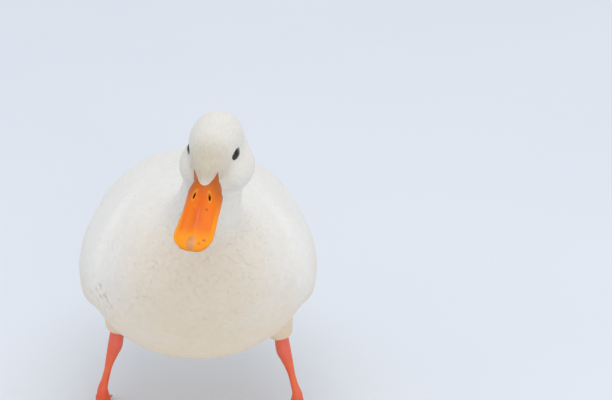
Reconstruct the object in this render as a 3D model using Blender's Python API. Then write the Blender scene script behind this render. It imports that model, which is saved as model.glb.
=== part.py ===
"""A white domestic duck, life size: it stands on both feet with its body nearly level, its neck drawn
up in front of its breast and its head lowered and turned a little to its right.

Metres, +Z up. The duck faces -Y, its left side is at +X, and the origin is on the floor under the
middle of its bounding box.
"""

import math
import random

import bmesh
import bpy
import numpy as np
from mathutils import Matrix, Vector

MM = 0.001
GAP = 0.35 * MM  # left between neighbours, so that no two solids touch

# The torso: a keel-shaped body without wings, neck, legs or tail
BODY_CENTRE = Vector((0, 0, 160 * MM))
BODY_PITCH = math.radians(13)  # the breast stands this much higher than the rump
TORSO_FRONT = -180 * MM
TORSO_REAR = 190 * MM

# The head, in its own axes: forward along the mouth line, left, and up, from the notch of feathers on
# the ridge of the bill
NOTCH = Vector((5.6 * MM, -205 * MM, 299 * MM))
HEAD_YAW = math.radians(16)  # towards the duck's right
HEAD_PITCH = math.radians(27.3)  # downwards
HEAD_ROLL = math.radians(-3)
EYE_FORWARD = -31.5 * MM
EYE_UP = 4.5 * MM
EYE_RADIUS = 6.6 * MM
EYE_DEPTH = 4.4 * MM  # from the skin to the middle of the eyeball
LID_RADIUS = 5.3 * MM
LID_THICK = 0.95 * MM

# The bill
BILL_ROOT = -15 * MM  # the bill starts this far behind the notch, inside the head
BILL_LENGTH = 57.5 * MM
NOSTRIL = (13.5 * MM, 6.6 * MM)  # forward of the notch, and out

# The legs: the heel joint and the top of the foot
HEEL_OUT = 74 * MM
HEEL_HEIGHT = 68 * MM
ANKLE_OUT = 88 * MM
ANKLE_HEIGHT = 16 * MM
HEEL_BACK = 13 * MM  # the heel lies this far behind the top of the foot
ANKLE_BACK = {"left": -4 * MM, "right": 14 * MM}
FOOT_SPLAY = math.radians(9)

# The toes: name, angle from the foot's own way towards its outside, length without the claw, radius
TOES = [
    ("inner", math.radians(-32), 44 * MM, 3.4 * MM),
    ("middle", math.radians(-2), 58 * MM, 3.9 * MM),
    ("outer", math.radians(26), 54 * MM, 3.5 * MM),
]
HIND_TOE = ("hind", math.radians(196), 13 * MM, 2.4 * MM)
CLAW_LENGTH = 7 * MM
WEB_THICK = 1.5 * MM
FOOT_KEPT = 0.65  # the share of a foot's triangles that is kept

# The wings and the tail
SEED = 5
WING_FRONT = -122 * MM
CORE_END = 128 * MM  # the wing's flesh and small coverts end here, and its long feathers run on
TAIL_ROOT = 150 * MM
TAIL_LIFT = math.radians(17)  # above the torso's axis
VANE_THICK = 0.9 * MM
VANES_KEPT = 0.6  # the share of a union's triangles that is kept

COLOURS = {
    "plumage": (0.86, 0.84, 0.79),
    "bill": (0.90, 0.36, 0.05),
    "nail": (0.80, 0.52, 0.30),
    "leg": (0.84, 0.20, 0.08),
    "claw": (0.55, 0.33, 0.20),
    "eye": (0.03, 0.025, 0.03),
}
ROUGHNESS = {"plumage": 0.8, "bill": 0.4, "nail": 0.4, "leg": 0.5, "claw": 0.4, "eye": 0.08}


# Frames, curves and meshes


def body_point(along, out, up):
    """A point of the torso's own axes: along its length to the rear, out to the left, and up."""
    turn = Matrix.Rotation(-BODY_PITCH, 3, "X")
    return BODY_CENTRE + turn @ Vector((out, along, up))


def head_axes():
    """The head's forward, left and up directions."""
    forward, left, up = Vector((0, -1, 0)), Vector((1, 0, 0)), Vector((0, 0, 1))
    turn = Matrix.Rotation(-HEAD_YAW, 3, up)
    forward, left = turn @ forward, turn @ left
    turn = Matrix.Rotation(HEAD_PITCH, 3, left)
    forward, up = turn @ forward, turn @ up
    turn = Matrix.Rotation(HEAD_ROLL, 3, forward)
    return forward, turn @ left, turn @ up


HEAD_FORWARD, HEAD_LEFT, HEAD_UP = head_axes()
HEAD_MATRIX = Matrix((HEAD_FORWARD, HEAD_LEFT, HEAD_UP)).transposed()


def head_point(forward, left, up):
    return NOTCH + HEAD_MATRIX @ Vector((forward, left, up))


def through(keys, t):
    """A smooth curve through keys, a list of (t, value, ...), read at t. It never overshoots a key."""
    keys = np.array(keys, float)
    ts, values = keys[:, 0], keys[:, 1:]
    steps = np.diff(ts)
    slopes = np.diff(values, axis=0) / steps[:, None]
    tangents = np.zeros_like(values)
    tangents[0], tangents[-1] = slopes[0], slopes[-1]
    for i in range(1, len(ts) - 1):
        before, after = slopes[i - 1], slopes[i]
        same = before * after > 0
        weight = np.where(same, before + after, 1)
        tangents[i] = np.where(same, 2 * before * after / weight, 0)
    i = int(np.clip(np.searchsorted(ts, t) - 1, 0, len(steps) - 1))
    h = steps[i]
    x = (np.clip(t, ts[0], ts[-1]) - ts[i]) / h
    start = (2 * x**3 - 3 * x**2 + 1) * values[i] + (x**3 - 2 * x**2 + x) * h * tangents[i]
    end = (3 * x**2 - 2 * x**3) * values[i + 1] + (x**3 - x**2) * h * tangents[i + 1]
    return start + end


def linked(name, bm):
    """The object of a bmesh, with its faces pointing out."""
    bmesh.ops.recalc_face_normals(bm, faces=bm.faces)
    mesh = bpy.data.meshes.new(name)
    bm.to_mesh(mesh)
    bm.free()
    obj = bpy.data.objects.new(name, mesh)
    bpy.context.scene.collection.objects.link(obj)
    return obj


def ringed(name, rings):
    """A closed body through rings of points, each with as many points, closed by a fan at both ends."""
    bm = bmesh.new()
    loops = [[bm.verts.new(p) for p in ring] for ring in rings]
    for near, far in zip(loops, loops[1:]):
        for i in range(len(near)):
            j = (i + 1) % len(near)
            bm.faces.new((near[i], near[j], far[j]))
            bm.faces.new((near[i], far[j], far[i]))
    for loop in (loops[0], loops[-1]):
        middle = bm.verts.new(sum((v.co for v in loop), Vector()) / len(loop))
        for i in range(len(loop)):
            bm.faces.new((loop[i], loop[(i + 1) % len(loop)], middle))
    return linked(name, bm)


def ellipsoid(name, place, radii, turn=None, segments=32):
    """An ellipsoid at a place, with its radii along the columns of turn."""
    bm = bmesh.new()
    bmesh.ops.create_uvsphere(bm, u_segments=segments, v_segments=segments // 2, radius=1)
    matrix = (turn or Matrix.Identity(3)).to_4x4() @ Matrix.Diagonal((*radii, 1))
    bm.transform(Matrix.Translation(place) @ matrix)
    return linked(name, bm)


def block(name, low, high):
    """A box between two corners."""
    bm = bmesh.new()
    bmesh.ops.create_cube(bm, size=1)
    low, high = Vector(low), Vector(high)
    bm.transform(Matrix.Translation((low + high) / 2) @ Matrix.Diagonal((*(high - low), 1)))
    return linked(name, bm)


def oval(centre, across, up, half_width, half_height, count, square=2.0):
    """A ring of points, squarer as square grows over 2."""
    ring = []
    for i in range(count):
        angle = math.tau * i / count
        x, y = math.sin(angle), math.cos(angle)
        x = math.copysign(abs(x) ** (2 / square), x)
        y = math.copysign(abs(y) ** (2 / square), y)
        ring.append(centre + across * (half_width * x) + up * (half_height * y))
    return ring


def tube(name, centres, radii, count=24, flatten=1.0):
    """A body along centres, round or flattened front to back, with rings square to its way."""
    rings = []
    for i, centre in enumerate(centres):
        way = (centres[min(i + 1, len(centres) - 1)] - centres[max(i - 1, 0)]).normalized()
        across = way.cross(Vector((0, 1, 0))).normalized()
        rings.append(oval(centre, across, way.cross(across), radii[i], radii[i] * flatten, count))
    return ringed(name, rings)


def applied(obj):
    """Applies every modifier of the object."""
    graph = bpy.context.evaluated_depsgraph_get()
    mesh = bpy.data.meshes.new_from_object(obj.evaluated_get(graph))
    obj.modifiers.clear()
    old = obj.data
    obj.data = mesh
    bpy.data.meshes.remove(old)
    return obj


def removed(obj):
    bpy.data.objects.remove(obj)


def copied(obj, name):
    twin = obj.copy()
    twin.data = obj.data.copy()
    twin.name = name
    bpy.context.scene.collection.objects.link(twin)
    return twin


def joined(name, pieces, solver="EXACT"):
    """One body: the Boolean union of the pieces, which it removes."""
    first, *others = pieces
    if others:
        group = bpy.data.collections.new(name + "_pieces")
        bpy.context.scene.collection.children.link(group)
        for piece in others:
            group.objects.link(piece)
        union = first.modifiers.new("union", "BOOLEAN")
        union.operation = "UNION"
        union.solver = solver
        union.operand_type = "COLLECTION"
        union.collection = group
        applied(first)
        for piece in others:
            removed(piece)
        bpy.data.collections.remove(group)
    first.name = name
    return first


def cut_from(obj, cutter, keep_cutter=False):
    """Cuts the cutter's shape out of the object."""
    difference = obj.modifiers.new("cut", "BOOLEAN")
    difference.operation = "DIFFERENCE"
    difference.object = cutter
    applied(obj)
    if not keep_cutter:
        removed(cutter)
    return obj


def swollen(obj, by=GAP):
    """A copy of the object whose surface stands out by that much."""
    twin = copied(obj, obj.name + "_swollen")
    displace = twin.modifiers.new("swell", "DISPLACE")
    displace.strength = by
    displace.mid_level = 0
    return applied(twin)


def largest(obj):
    """Keeps only the object's largest closed surface."""
    bm = bmesh.new()
    bm.from_mesh(obj.data)
    left = set(bm.verts)
    shells = []
    while left:
        shell, edge = set(), [left.pop()]
        while edge:
            vert = edge.pop()
            shell.add(vert)
            near = {e.other_vert(vert) for e in vert.link_edges} & left
            left -= near
            edge.extend(near)
        shells.append(shell)
    shells.sort(key=lambda shell: -spread(shell))
    for shell in shells[1:]:
        bmesh.ops.delete(bm, geom=list(shell), context="VERTS")
    bm.to_mesh(obj.data)
    bm.free()
    return obj


def lightened(obj, share):
    """Keeps about that share of the object's triangles, where its surface needs them most."""
    thin = obj.modifiers.new("thin", "DECIMATE")
    thin.ratio = share
    thin.use_collapse_triangulate = True
    return applied(obj)


def spread(verts):
    """The diagonal of the box round some vertices."""
    points = np.array([v.co for v in verts])
    return float(np.linalg.norm(points.max(0) - points.min(0)))


def parted(obj, name, place, way):
    """A copy of the object that keeps only what lies past a plane, on the side of way, with the cut closed."""
    twin = copied(obj, name)
    bm = bmesh.new()
    bm.from_mesh(twin.data)
    geometry = bm.verts[:] + bm.edges[:] + bm.faces[:]
    half_gap = way * (GAP / 2)
    bmesh.ops.bisect_plane(bm, geom=geometry, plane_co=place + half_gap, plane_no=way, clear_inner=True)
    rim = [e for e in bm.edges if e.is_boundary]
    bmesh.ops.triangle_fill(bm, edges=rim, use_beauty=True, use_dissolve=False)
    bmesh.ops.recalc_face_normals(bm, faces=bm.faces)
    bm.to_mesh(twin.data)
    bm.free()
    return twin


def fused(name, pieces, voxel, smoothing, triangles):
    """One smooth closed body from overlapping pieces, as flesh and plumage run together."""
    bm = bmesh.new()
    for piece in pieces:
        bm.from_mesh(piece.data)
        removed(piece)
    obj = linked(name, bm)
    remesh = obj.modifiers.new("fuse", "REMESH")
    remesh.mode = "VOXEL"
    remesh.voxel_size = voxel
    smooth = obj.modifiers.new("smooth", "SMOOTH")
    smooth.iterations = smoothing
    smooth.factor = 0.5
    applied(obj)
    return lightened(obj, triangles / (2 * len(obj.data.polygons)))


def finished(obj, look):
    """Gives a node its material."""
    material = bpy.data.materials.get(look)
    if material is None:
        material = bpy.data.materials.new(look)
        material.use_nodes = True
        shader = material.node_tree.nodes["Principled BSDF"]
        shader.inputs["Base Color"].default_value = (*COLOURS[look], 1)
        shader.inputs["Roughness"].default_value = ROUGHNESS[look]
    obj.data.materials.clear()
    obj.data.materials.append(material)
    return obj


# The torso, neck and head

# Along the torso: the height of its widest line, its height over and under that line, and its half width
TORSO_SHAPE = [
    (TORSO_FRONT, 2 * MM, 6 * MM, 6 * MM, 8 * MM),
    (-173 * MM, 1 * MM, 34 * MM, 33 * MM, 40 * MM),
    (-152 * MM, -3 * MM, 60 * MM, 54 * MM, 68 * MM),
    (-110 * MM, -8 * MM, 81 * MM, 71.5 * MM, 89 * MM),
    (-50 * MM, -12 * MM, 89 * MM, 78 * MM, 98 * MM),
    (10 * MM, -12 * MM, 90.5 * MM, 77 * MM, 99 * MM),
    (70 * MM, -7 * MM, 84 * MM, 70 * MM, 92 * MM),
    (120 * MM, 2 * MM, 66 * MM, 57 * MM, 75 * MM),
    (155 * MM, 9 * MM, 50 * MM, 40 * MM, 55 * MM),
    (180 * MM, 14 * MM, 34 * MM, 25 * MM, 38 * MM),
    (TORSO_REAR, 17 * MM, 19 * MM, 14 * MM, 24 * MM),
]
ROOF = 1.8  # the section over the widest line is a little more pointed than an ellipse


def torso_ring(along, count=48):
    middle, over, under, half_width = through(TORSO_SHAPE, along)
    ring = []
    for i in range(count):
        angle = math.tau * i / count
        x, y = section_point(angle, over, under, half_width)
        ring.append(body_point(along, x, middle + y))
    return ring


def section_point(angle, over, under, half_width):
    """A point of the body's section, out and up from the middle of its widest line, at an angle from
    the top."""
    x, y = math.sin(angle), math.cos(angle)
    if y < 0:
        return half_width * x, under * y
    return half_width * math.copysign(abs(x) ** (2 / ROOF), x), over * y ** (2 / ROOF)


def torso_blank():
    stations = 44
    # Closer together at the two round ends
    shares = [0.5 - 0.5 * math.cos(math.pi * i / stations) for i in range(stations + 1)]
    return ringed("torso_blank", [torso_ring(TORSO_FRONT + s * (TORSO_REAR - TORSO_FRONT)) for s in shares])


# Down the neck: its middle, and its radius
NECK_TOP = (-50 * MM, 0, -14 * MM)


def neck_blank():
    top = head_point(*NECK_TOP)
    keys = [
        (0, *head_point(-46 * MM, 0, -2 * MM), 20 * MM),
        (1, *top, 25 * MM),
        (2, 13 * MM, -147 * MM, 268 * MM, 26 * MM),
        (3, 6 * MM, -128 * MM, 232 * MM, 36 * MM),
        (4, 0, -96 * MM, 196 * MM, 56 * MM),
        (5, 0, -60 * MM, 170 * MM, 62 * MM),
    ]
    steps = 30
    readings = [through(keys, 5 * i / steps) for i in range(steps + 1)]
    return tube("neck_blank", [Vector(r[:3]) for r in readings], [r[3] for r in readings], 32)


# The lumps that the head is built of: forward, left and up from the notch, and the three radii
HEAD_LUMPS = [
    (-42, 0, 2.5, 30, 22.8, 24),  # crown
    (-55, 0, -2, 21, 21, 22),  # nape
    (-25, 0, 2, 22, 17.5, 15),  # forehead
    (-9, 0, -4, 13, 8.5, 6.5),  # wedge of feathers on the ridge of the bill
    (-22, 0, -14, 22, 17.5, 14),  # face
    (-35, 14, -15.5, 24, 18, 17),  # left cheek
    (-35, -14, -15.5, 24, 18, 17),  # right cheek
    (-30, 0, -20, 25, 16, 13),  # throat
]


def head_blanks():
    blanks = []
    for i, (forward, left, up, *radii) in enumerate(HEAD_LUMPS):
        place = head_point(forward * MM, left * MM, up * MM)
        blanks.append(ellipsoid(f"head_lump_{i}", place, [r * MM for r in radii], HEAD_MATRIX))
    return blanks


def flesh():
    """The whole of torso, neck and head before it is parted."""
    return fused(
        "flesh", [torso_blank(), neck_blank(), *head_blanks()], voxel=2.6 * MM, smoothing=14, triangles=3400
    )


NECK_CUT_TOP = (-44 * MM, 0, -22 * MM)


def trunk():
    """The torso, neck and head, parted by two planes."""
    whole = flesh()
    neck_way = Vector((0, -0.62, 0.78)).normalized()
    neck_base = Vector((0, -118 * MM, 226 * MM))
    head_way = (HEAD_MATRIX @ Vector((0.55, 0, 0.84))).normalized()
    head_base = head_point(*NECK_CUT_TOP)
    torso = parted(whole, "torso", neck_base, -neck_way)
    upper = parted(whole, "upper", neck_base, neck_way)
    neck = parted(upper, "neck", head_base, -head_way)
    head = parted(upper, "head", head_base, head_way)
    removed(whole)
    removed(upper)
    return finished(torso, "plumage"), finished(neck, "plumage"), head


# The bill

# Forward of the notch: the height of the ridge, the height of the mouth's edge, the half width, and
# how square the section is
UPPER_BILL_SHAPE = [
    (BILL_ROOT, 1.5 * MM, -15 * MM, 10.5 * MM, 2.3),
    (-4 * MM, 0.5 * MM, -16.5 * MM, 14.2 * MM, 2.2),
    (6 * MM, -2 * MM, -18.2 * MM, 14.9 * MM, 2.1),
    (19 * MM, -8.6 * MM, -19.4 * MM, 14.6 * MM, 2.1),
    (34 * MM, -13.4 * MM, -19.6 * MM, 15.4 * MM, 2.3),
    (45 * MM, -15 * MM, -19.2 * MM, 15.9 * MM, 2.5),
    (52.5 * MM, -15.8 * MM, -19.2 * MM, 13.4 * MM, 2.5),
    (56.5 * MM, -17 * MM, -19.8 * MM, 8.8 * MM, 2.2),
    (BILL_LENGTH, -18 * MM, -20 * MM, 5.5 * MM, 2),
]
LIP = 1.2 * MM  # the height of the upper bill's upright edge
LOWER_BILL_DEPTH = 5 * MM
LOWER_BILL_INSET = 1.6 * MM
LOWER_BILL_SHORT = 3 * MM


def bill_stations(end, count):
    """Places along the bill, closer together at its round end."""
    return [BILL_ROOT + (end - BILL_ROOT) * math.sin(math.pi / 2 * i / count) for i in range(count + 1)]


def upper_bill_ring(forward, arch=12):
    ridge, edge, half_width, square = through(UPPER_BILL_SHAPE, forward)
    ring = []
    for i in range(arch + 1):
        angle = math.pi * (i / arch - 0.5)
        out = math.copysign(abs(math.sin(angle)) ** (2 / square), angle)
        up = abs(math.cos(angle)) ** (2 / square)
        ring.append(head_point(forward, half_width * out, edge + LIP + (ridge - edge - LIP) * up))
    for out in (1, 0.5, 0, -0.5, -1):
        ring.append(head_point(forward, half_width * out * 0.97, edge + 0.4 * MM * (1 - abs(out))))
    return ring


def lower_bill_ring(forward, arch=8):
    _, edge, half_width, _ = through(UPPER_BILL_SHAPE, forward)
    top = edge - GAP
    half_width -= LOWER_BILL_INSET
    ring = [head_point(forward, half_width * out, top) for out in (-1, -0.4, 0.4, 1)]
    for i in range(1, arch):
        angle = math.pi * (0.5 - i / arch)
        down = math.cos(angle) ** 0.7 * LOWER_BILL_DEPTH
        ring.append(head_point(forward, half_width * math.sin(angle), top - down))
    return ring


def nail():
    """The hard plate at the tip of the bill."""
    tilt = Matrix.Rotation(math.radians(24), 3, HEAD_LEFT)
    place = head_point(BILL_LENGTH - 5.2 * MM, 0, -18.6 * MM)
    return ellipsoid("bill_nail", place, (6.2 * MM, 4.4 * MM, 3.1 * MM), tilt @ HEAD_MATRIX, 12)


def bill():
    upper = ringed("bill_upper", [upper_bill_ring(f) for f in bill_stations(BILL_LENGTH, 13)])
    lower_end = BILL_LENGTH - LOWER_BILL_SHORT
    lower = ringed("bill_lower", [lower_bill_ring(f) for f in bill_stations(lower_end, 9)])
    hook = nail()
    cut_from(upper, swollen(hook))
    cut_from(lower, swollen(hook))
    for side in (1, -1):
        forward, out = NOSTRIL
        ridge, edge, *_ = through(UPPER_BILL_SHAPE, forward)
        turn = HEAD_MATRIX @ Matrix.Rotation(-side * math.radians(14), 3, "Z")
        place = head_point(forward, side * out, ridge - 1.6 * MM)
        cut_from(upper, ellipsoid("nostril", place, (3.1 * MM, 1.25 * MM, 2.6 * MM), turn, 12))
    return finished(largest(upper), "bill"), finished(lower, "bill"), finished(hook, "nail")


# The eyes and the head's last cuts


def skin_at(head, side):
    """The place on the side of the head where the eye sits, and the way that it looks."""
    hits = []
    for forward, up in ((0, 0), (4, 0), (-4, 0), (0, 4), (0, -4)):
        start = head_point(EYE_FORWARD + forward * MM, side * 60 * MM, EYE_UP + up * MM)
        hits.append(head.ray_cast(start, -side * HEAD_LEFT))
    return hits[0][1], sum((normal for _, _, normal, _ in hits), Vector()).normalized()


def lid(place, way):
    """A ring of bare skin round the eye, longer along the head than it is high."""
    bm = bmesh.new()
    section = bmesh.ops.create_circle(bm, segments=6, radius=LID_THICK)
    bmesh.ops.rotate(bm, verts=section["verts"], matrix=Matrix.Rotation(math.pi / 2, 3, "X"))
    bmesh.ops.translate(bm, verts=section["verts"], vec=(LID_RADIUS, 0, 0))
    edges = bm.verts[:] + bm.edges[:]
    bmesh.ops.spin(bm, geom=edges, axis=(0, 0, 1), cent=(0, 0, 0), angle=math.tau, steps=18, use_merge=True)
    along = (HEAD_FORWARD - way * HEAD_FORWARD.dot(way)).normalized()
    turn = Matrix((along, way.cross(along), way)).transposed().to_4x4()
    bm.transform(Matrix.Translation(place) @ turn @ Matrix.Diagonal((1, 0.84, 1, 1)))
    return linked("lid", bm)


def head_with_eyes(head, bills):
    eyes = []
    lids = []
    for name, side in (("left", 1), ("right", -1)):
        skin, way = skin_at(head, side)
        eyes.append(ellipsoid(f"eye_{name}", skin - way * EYE_DEPTH, [EYE_RADIUS] * 3, HEAD_MATRIX, 16))
        lids.append(lid(skin, way))
    whole = joined("head", [head, *lids])
    for neighbour in (*eyes, *bills):
        cut_from(whole, swollen(neighbour))
    for eye in eyes:
        finished(eye, "eye")
    return finished(largest(whole), "plumage")


# The legs


def leg_frame(name):
    """Which way is out for a leg, and the places of its heel and of the top of its foot."""
    side = 1 if name == "left" else -1
    back = ANKLE_BACK[name]
    heel = Vector((side * HEEL_OUT, back + HEEL_BACK, HEEL_HEIGHT))
    return side, heel, Vector((side * ANKLE_OUT, back, ANKLE_HEIGHT))


def bare_leg(name):
    """The leg from inside the thigh's feathers down into the foot."""
    side, heel, ankle = leg_frame(name)
    knee_way = Vector((-side * 0.22, -0.45, 0.87)).normalized()
    keys = [
        (0, *(heel + knee_way * 15 * MM), 6.0 * MM),
        (1, *(heel + knee_way * 7 * MM), 6.2 * MM),
        (2, *heel, 6.9 * MM),
        (3, *heel.lerp(ankle, 0.28), 5.0 * MM),
        (4, *heel.lerp(ankle, 0.62), 3.9 * MM),
        (5, *ankle, 5.4 * MM),
        (6, *(ankle - Vector((0, 0, 7 * MM))), 6.2 * MM),
    ]
    readings = [through(keys, 6 * i / 14) for i in range(15)]
    return tube("bare_leg", [Vector(r[:3]) for r in readings], [r[3] for r in readings], 12, 1.25)


def thigh(name):
    side, heel, _ = leg_frame(name)
    keys = [
        (0, side * 52 * MM, heel.y - 12 * MM, 128 * MM, 38 * MM),
        (1, side * 61 * MM, heel.y - 6 * MM, 104 * MM, 27 * MM),
        (2, side * 69 * MM, heel.y - 2 * MM, 86 * MM, 15.5 * MM),
        (3, heel.x, heel.y - 1 * MM, 77 * MM, 10.5 * MM),
        (3.5, heel.x, heel.y - 1 * MM, 73 * MM, 8 * MM),
    ]
    readings = [through(keys, 3.5 * i / 9) for i in range(10)]
    return tube(f"thigh_{name}", [Vector(r[:3]) for r in readings], [r[3] for r in readings], 14)


def toe_way(name, angle):
    """The way a toe points over the floor."""
    side = 1 if name == "left" else -1
    turn = side * (angle + FOOT_SPLAY)
    return Vector((math.sin(turn), -math.cos(turn), 0))


def toe_height(share, radius):
    """The height of the middle of a toe: it comes down from the foot's top and lies on the floor."""
    return radius * 0.8 + 5 * MM * max(0, 1 - share / 0.35) ** 2


def toe(name, angle, length, radius):
    """A toe with a pad at each joint."""
    _, _, ankle = leg_frame(name)
    way = toe_way(name, angle)
    stations = 6
    places, radii = [], []
    for i in range(stations + 1):
        share = i / stations
        place = Vector((ankle.x, ankle.y, 0)) + way * (length * share)
        place.z = toe_height(share, radius)
        places.append(place)
        pad = 1 + 0.1 * math.cos(math.tau * 2.5 * share)
        radii.append(radius * (1.25 - 0.42 * share) * pad)
    across = way.cross(Vector((0, 0, 1)))
    return ringed("toe", [oval(p, across, Vector((0, 0, 1)), r, r, 7) for p, r in zip(places, radii)])


def web(name, near, far):
    """The skin between two toes, with a hollow front edge."""
    _, _, ankle = leg_frame(name)
    rows, columns = 4, 4
    grid = []
    for i in range(rows + 1):
        reach = 0.12 + 0.88 * i / rows
        line = []
        for j in range(columns + 1):
            share = j / columns
            angle = near[1] + (far[1] - near[1]) * share
            length = (near[2] + (far[2] - near[2]) * share) * 0.97
            length *= 1 - 0.13 * math.sin(math.pi * share) * reach
            place = Vector((ankle.x, ankle.y, 0)) + toe_way(name, angle) * (length * reach)
            place.z = 1.0 * MM + 3.4 * MM * (1 - reach) ** 1.5 + 0.8 * MM * math.sin(math.pi * share) * reach
            line.append(place)
        grid.append(line)
    half = Vector((0, 0, WEB_THICK / 2))
    return plate("web", [[p + half for p in line] for line in grid], [[p - half for p in line] for line in grid])


def plate(name, top, bottom):
    """A thin closed plate between two grids of points, split into triangles alike on both faces."""
    bm = bmesh.new()
    sheets = [[[bm.verts.new(p) for p in row] for row in grid] for grid in (top, bottom)]
    rows, columns = len(top), len(top[0])
    for sheet in sheets:
        for near, far in zip(sheet, sheet[1:]):
            for j in range(columns - 1):
                bm.faces.new((near[j], near[j + 1], far[j + 1]))
                bm.faces.new((near[j], far[j + 1], far[j]))
    rim = [(i, 0) for i in range(rows)]
    rim += [(rows - 1, j) for j in range(1, columns)]
    rim += [(i, columns - 1) for i in range(rows - 2, -1, -1)]
    rim += [(0, j) for j in range(columns - 2, 0, -1)]
    upper, lower = sheets
    for (i, j), (k, m) in zip(rim, rim[1:] + rim[:1]):
        bm.faces.new((upper[i][j], upper[k][m], lower[k][m]))
        bm.faces.new((upper[i][j], lower[k][m], lower[i][j]))
    return linked(name, bm)


def claw(name, toe_name, angle, length, radius):
    _, _, ankle = leg_frame(name)
    way = toe_way(name, angle)
    rings = []
    for share in (0, 0.5, 1):
        place = Vector((ankle.x, ankle.y, 0)) + way * (length + GAP + CLAW_LENGTH * share)
        place.z = radius * 0.75 + 0.2 * MM + 0.9 * MM * math.sin(math.pi * share) - 0.25 * radius * share
        size = radius * 0.62 * (1 - share) ** 0.6 + 0.25 * MM
        across = way.cross(Vector((0, 0, 1)))
        rings.append(oval(place, across, Vector((0, 0, 1)), size * 0.8, size, 6))
    return finished(ringed(f"claw_{name}_{toe_name}", rings), "claw")


def foot(name, stump):
    """The toes, webs and heel of a foot, with flat soles on the floor."""
    _, _, ankle = leg_frame(name)
    hub = ellipsoid("hub", Vector((ankle.x, ankle.y + 1 * MM, 7 * MM)), (6.8 * MM, 7.6 * MM, 7.4 * MM), None, 12)
    pieces = [hub, stump]
    for _, angle, length, radius in (*TOES, HIND_TOE):
        pieces.append(toe(name, angle, length, radius))
    for near, far in zip(TOES, TOES[1:]):
        pieces.append(web(name, near, far))
    body = joined(f"foot_{name}", pieces)
    lightened(largest(body), FOOT_KEPT)
    cut_from(body, block("under_floor", (-0.3, -0.3, -0.1), (0.3, 0.3, 0)))
    return finished(largest(body), "leg")


def leg(name, torso):
    whole = bare_leg(name)
    ankle = Vector((0, 0, ANKLE_HEIGHT))
    lower = parted(whole, f"shank_{name}", ankle, Vector((0, 0, 1)))
    stump = parted(whole, "stump", ankle, Vector((0, 0, -1)))
    removed(whole)
    foot(name, stump)
    for toe_name, angle, length, radius in (*TOES, HIND_TOE):
        claw(name, toe_name, angle, length, radius)
    upper = cut_from(thigh(name), swollen(torso))
    upper = cut_from(largest(upper), swollen(lower))
    return finished(lower, "leg"), finished(largest(upper), "plumage")


# The wings and the tail

# The sheet that the folded wings lie in, along the torso: the same readings as the torso's
MANTLE_SHAPE = [
    (-150 * MM, -3 * MM, 62 * MM, 60 * MM, 75 * MM),
    (-110 * MM, -8 * MM, 85 * MM, 80 * MM, 95 * MM),
    (-50 * MM, -12 * MM, 95 * MM, 89 * MM, 104.5 * MM),
    (10 * MM, -12 * MM, 97.5 * MM, 90 * MM, 106 * MM),
    (70 * MM, -6 * MM, 91 * MM, 82 * MM, 100 * MM),
    (120 * MM, 3 * MM, 75 * MM, 66 * MM, 84 * MM),
    (160 * MM, 12 * MM, 58 * MM, 52 * MM, 64 * MM),
    (200 * MM, 18 * MM, 47 * MM, 42 * MM, 46 * MM),
    (240 * MM, 22 * MM, 41 * MM, 34 * MM, 32 * MM),
]

# Along the wing's core: the angles of its upper and lower edge from the middle of the back, in degrees,
# how far its face lies over the sheet, and its depth
WING_CORE = [
    (WING_FRONT, 74, 84, -2 * MM, 14 * MM),
    (-112 * MM, 58, 98, -1 * MM, 16 * MM),
    (-85 * MM, 42, 107, 0, 16 * MM),
    (-30 * MM, 26, 110, 0, 16 * MM),
    (20 * MM, 20, 105, -1 * MM, 15 * MM),
    (70 * MM, 20, 94, -3.5 * MM, 13 * MM),
    (110 * MM, 20, 78, -5.5 * MM, 10 * MM),
    (CORE_END, 24, 66, -7 * MM, 6 * MM),
]


def mantle_point(side, along, angle, lift):
    """A point over the sheet that the wings lie in, at an angle from the middle of the back."""
    middle, over, under, half_width = through(MANTLE_SHAPE, along)
    x, y = section_point(angle, over, under, half_width)
    nx, ny = section_point(angle + 0.01, over, under, half_width)
    px, py = section_point(angle - 0.01, over, under, half_width)
    normal = Vector((py - ny, 0, nx - px)).normalized()
    return body_point(along, side * (x + lift * normal.x), middle + y + lift * normal.z)


def wing_core(side):
    """The flesh and small coverts of a folded wing."""
    faces, backs = [], []
    stations, columns = 12, 6
    for i in range(stations + 1):
        along = WING_FRONT + (CORE_END - WING_FRONT) * i / stations
        high, low, lift, depth = through(WING_CORE, along)
        angles = [math.radians(high + (low - high) * j / columns) for j in range(columns + 1)]
        faces.append([mantle_point(side, along, angle, lift) for angle in angles])
        backs.append([mantle_point(side, along, angle, lift - depth) for angle in angles])
    return plate("wing_core", faces, backs)


def unit_steps(side, along, angle):
    """How far along and round the sheet a metre goes: its rate in metres a metre, and in metres a radian."""
    here = mantle_point(side, along, angle, 0)
    rear = (mantle_point(side, along + 1 * MM, angle, 0) - here) / (1 * MM)
    round_ = (mantle_point(side, along, angle + 0.01, 0) - here) / 0.01
    return rear.length, round_.length


# A vane's half width along its length, as a share of its widest, and how thick it is there
VANE_OUTLINE = [
    (0, 0.45, 1),
    (0.3, 0.85, 1),
    (0.62, 1, 1),
    (0.86, 0.74, 0.8),
    (1, 0.2, 0.5),
]


def vane_shares(rows):
    """Places along a vane, closer together at its tip."""
    return [1 - (1 - i / (rows - 1)) ** 1.25 for i in range(rows)]


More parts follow.
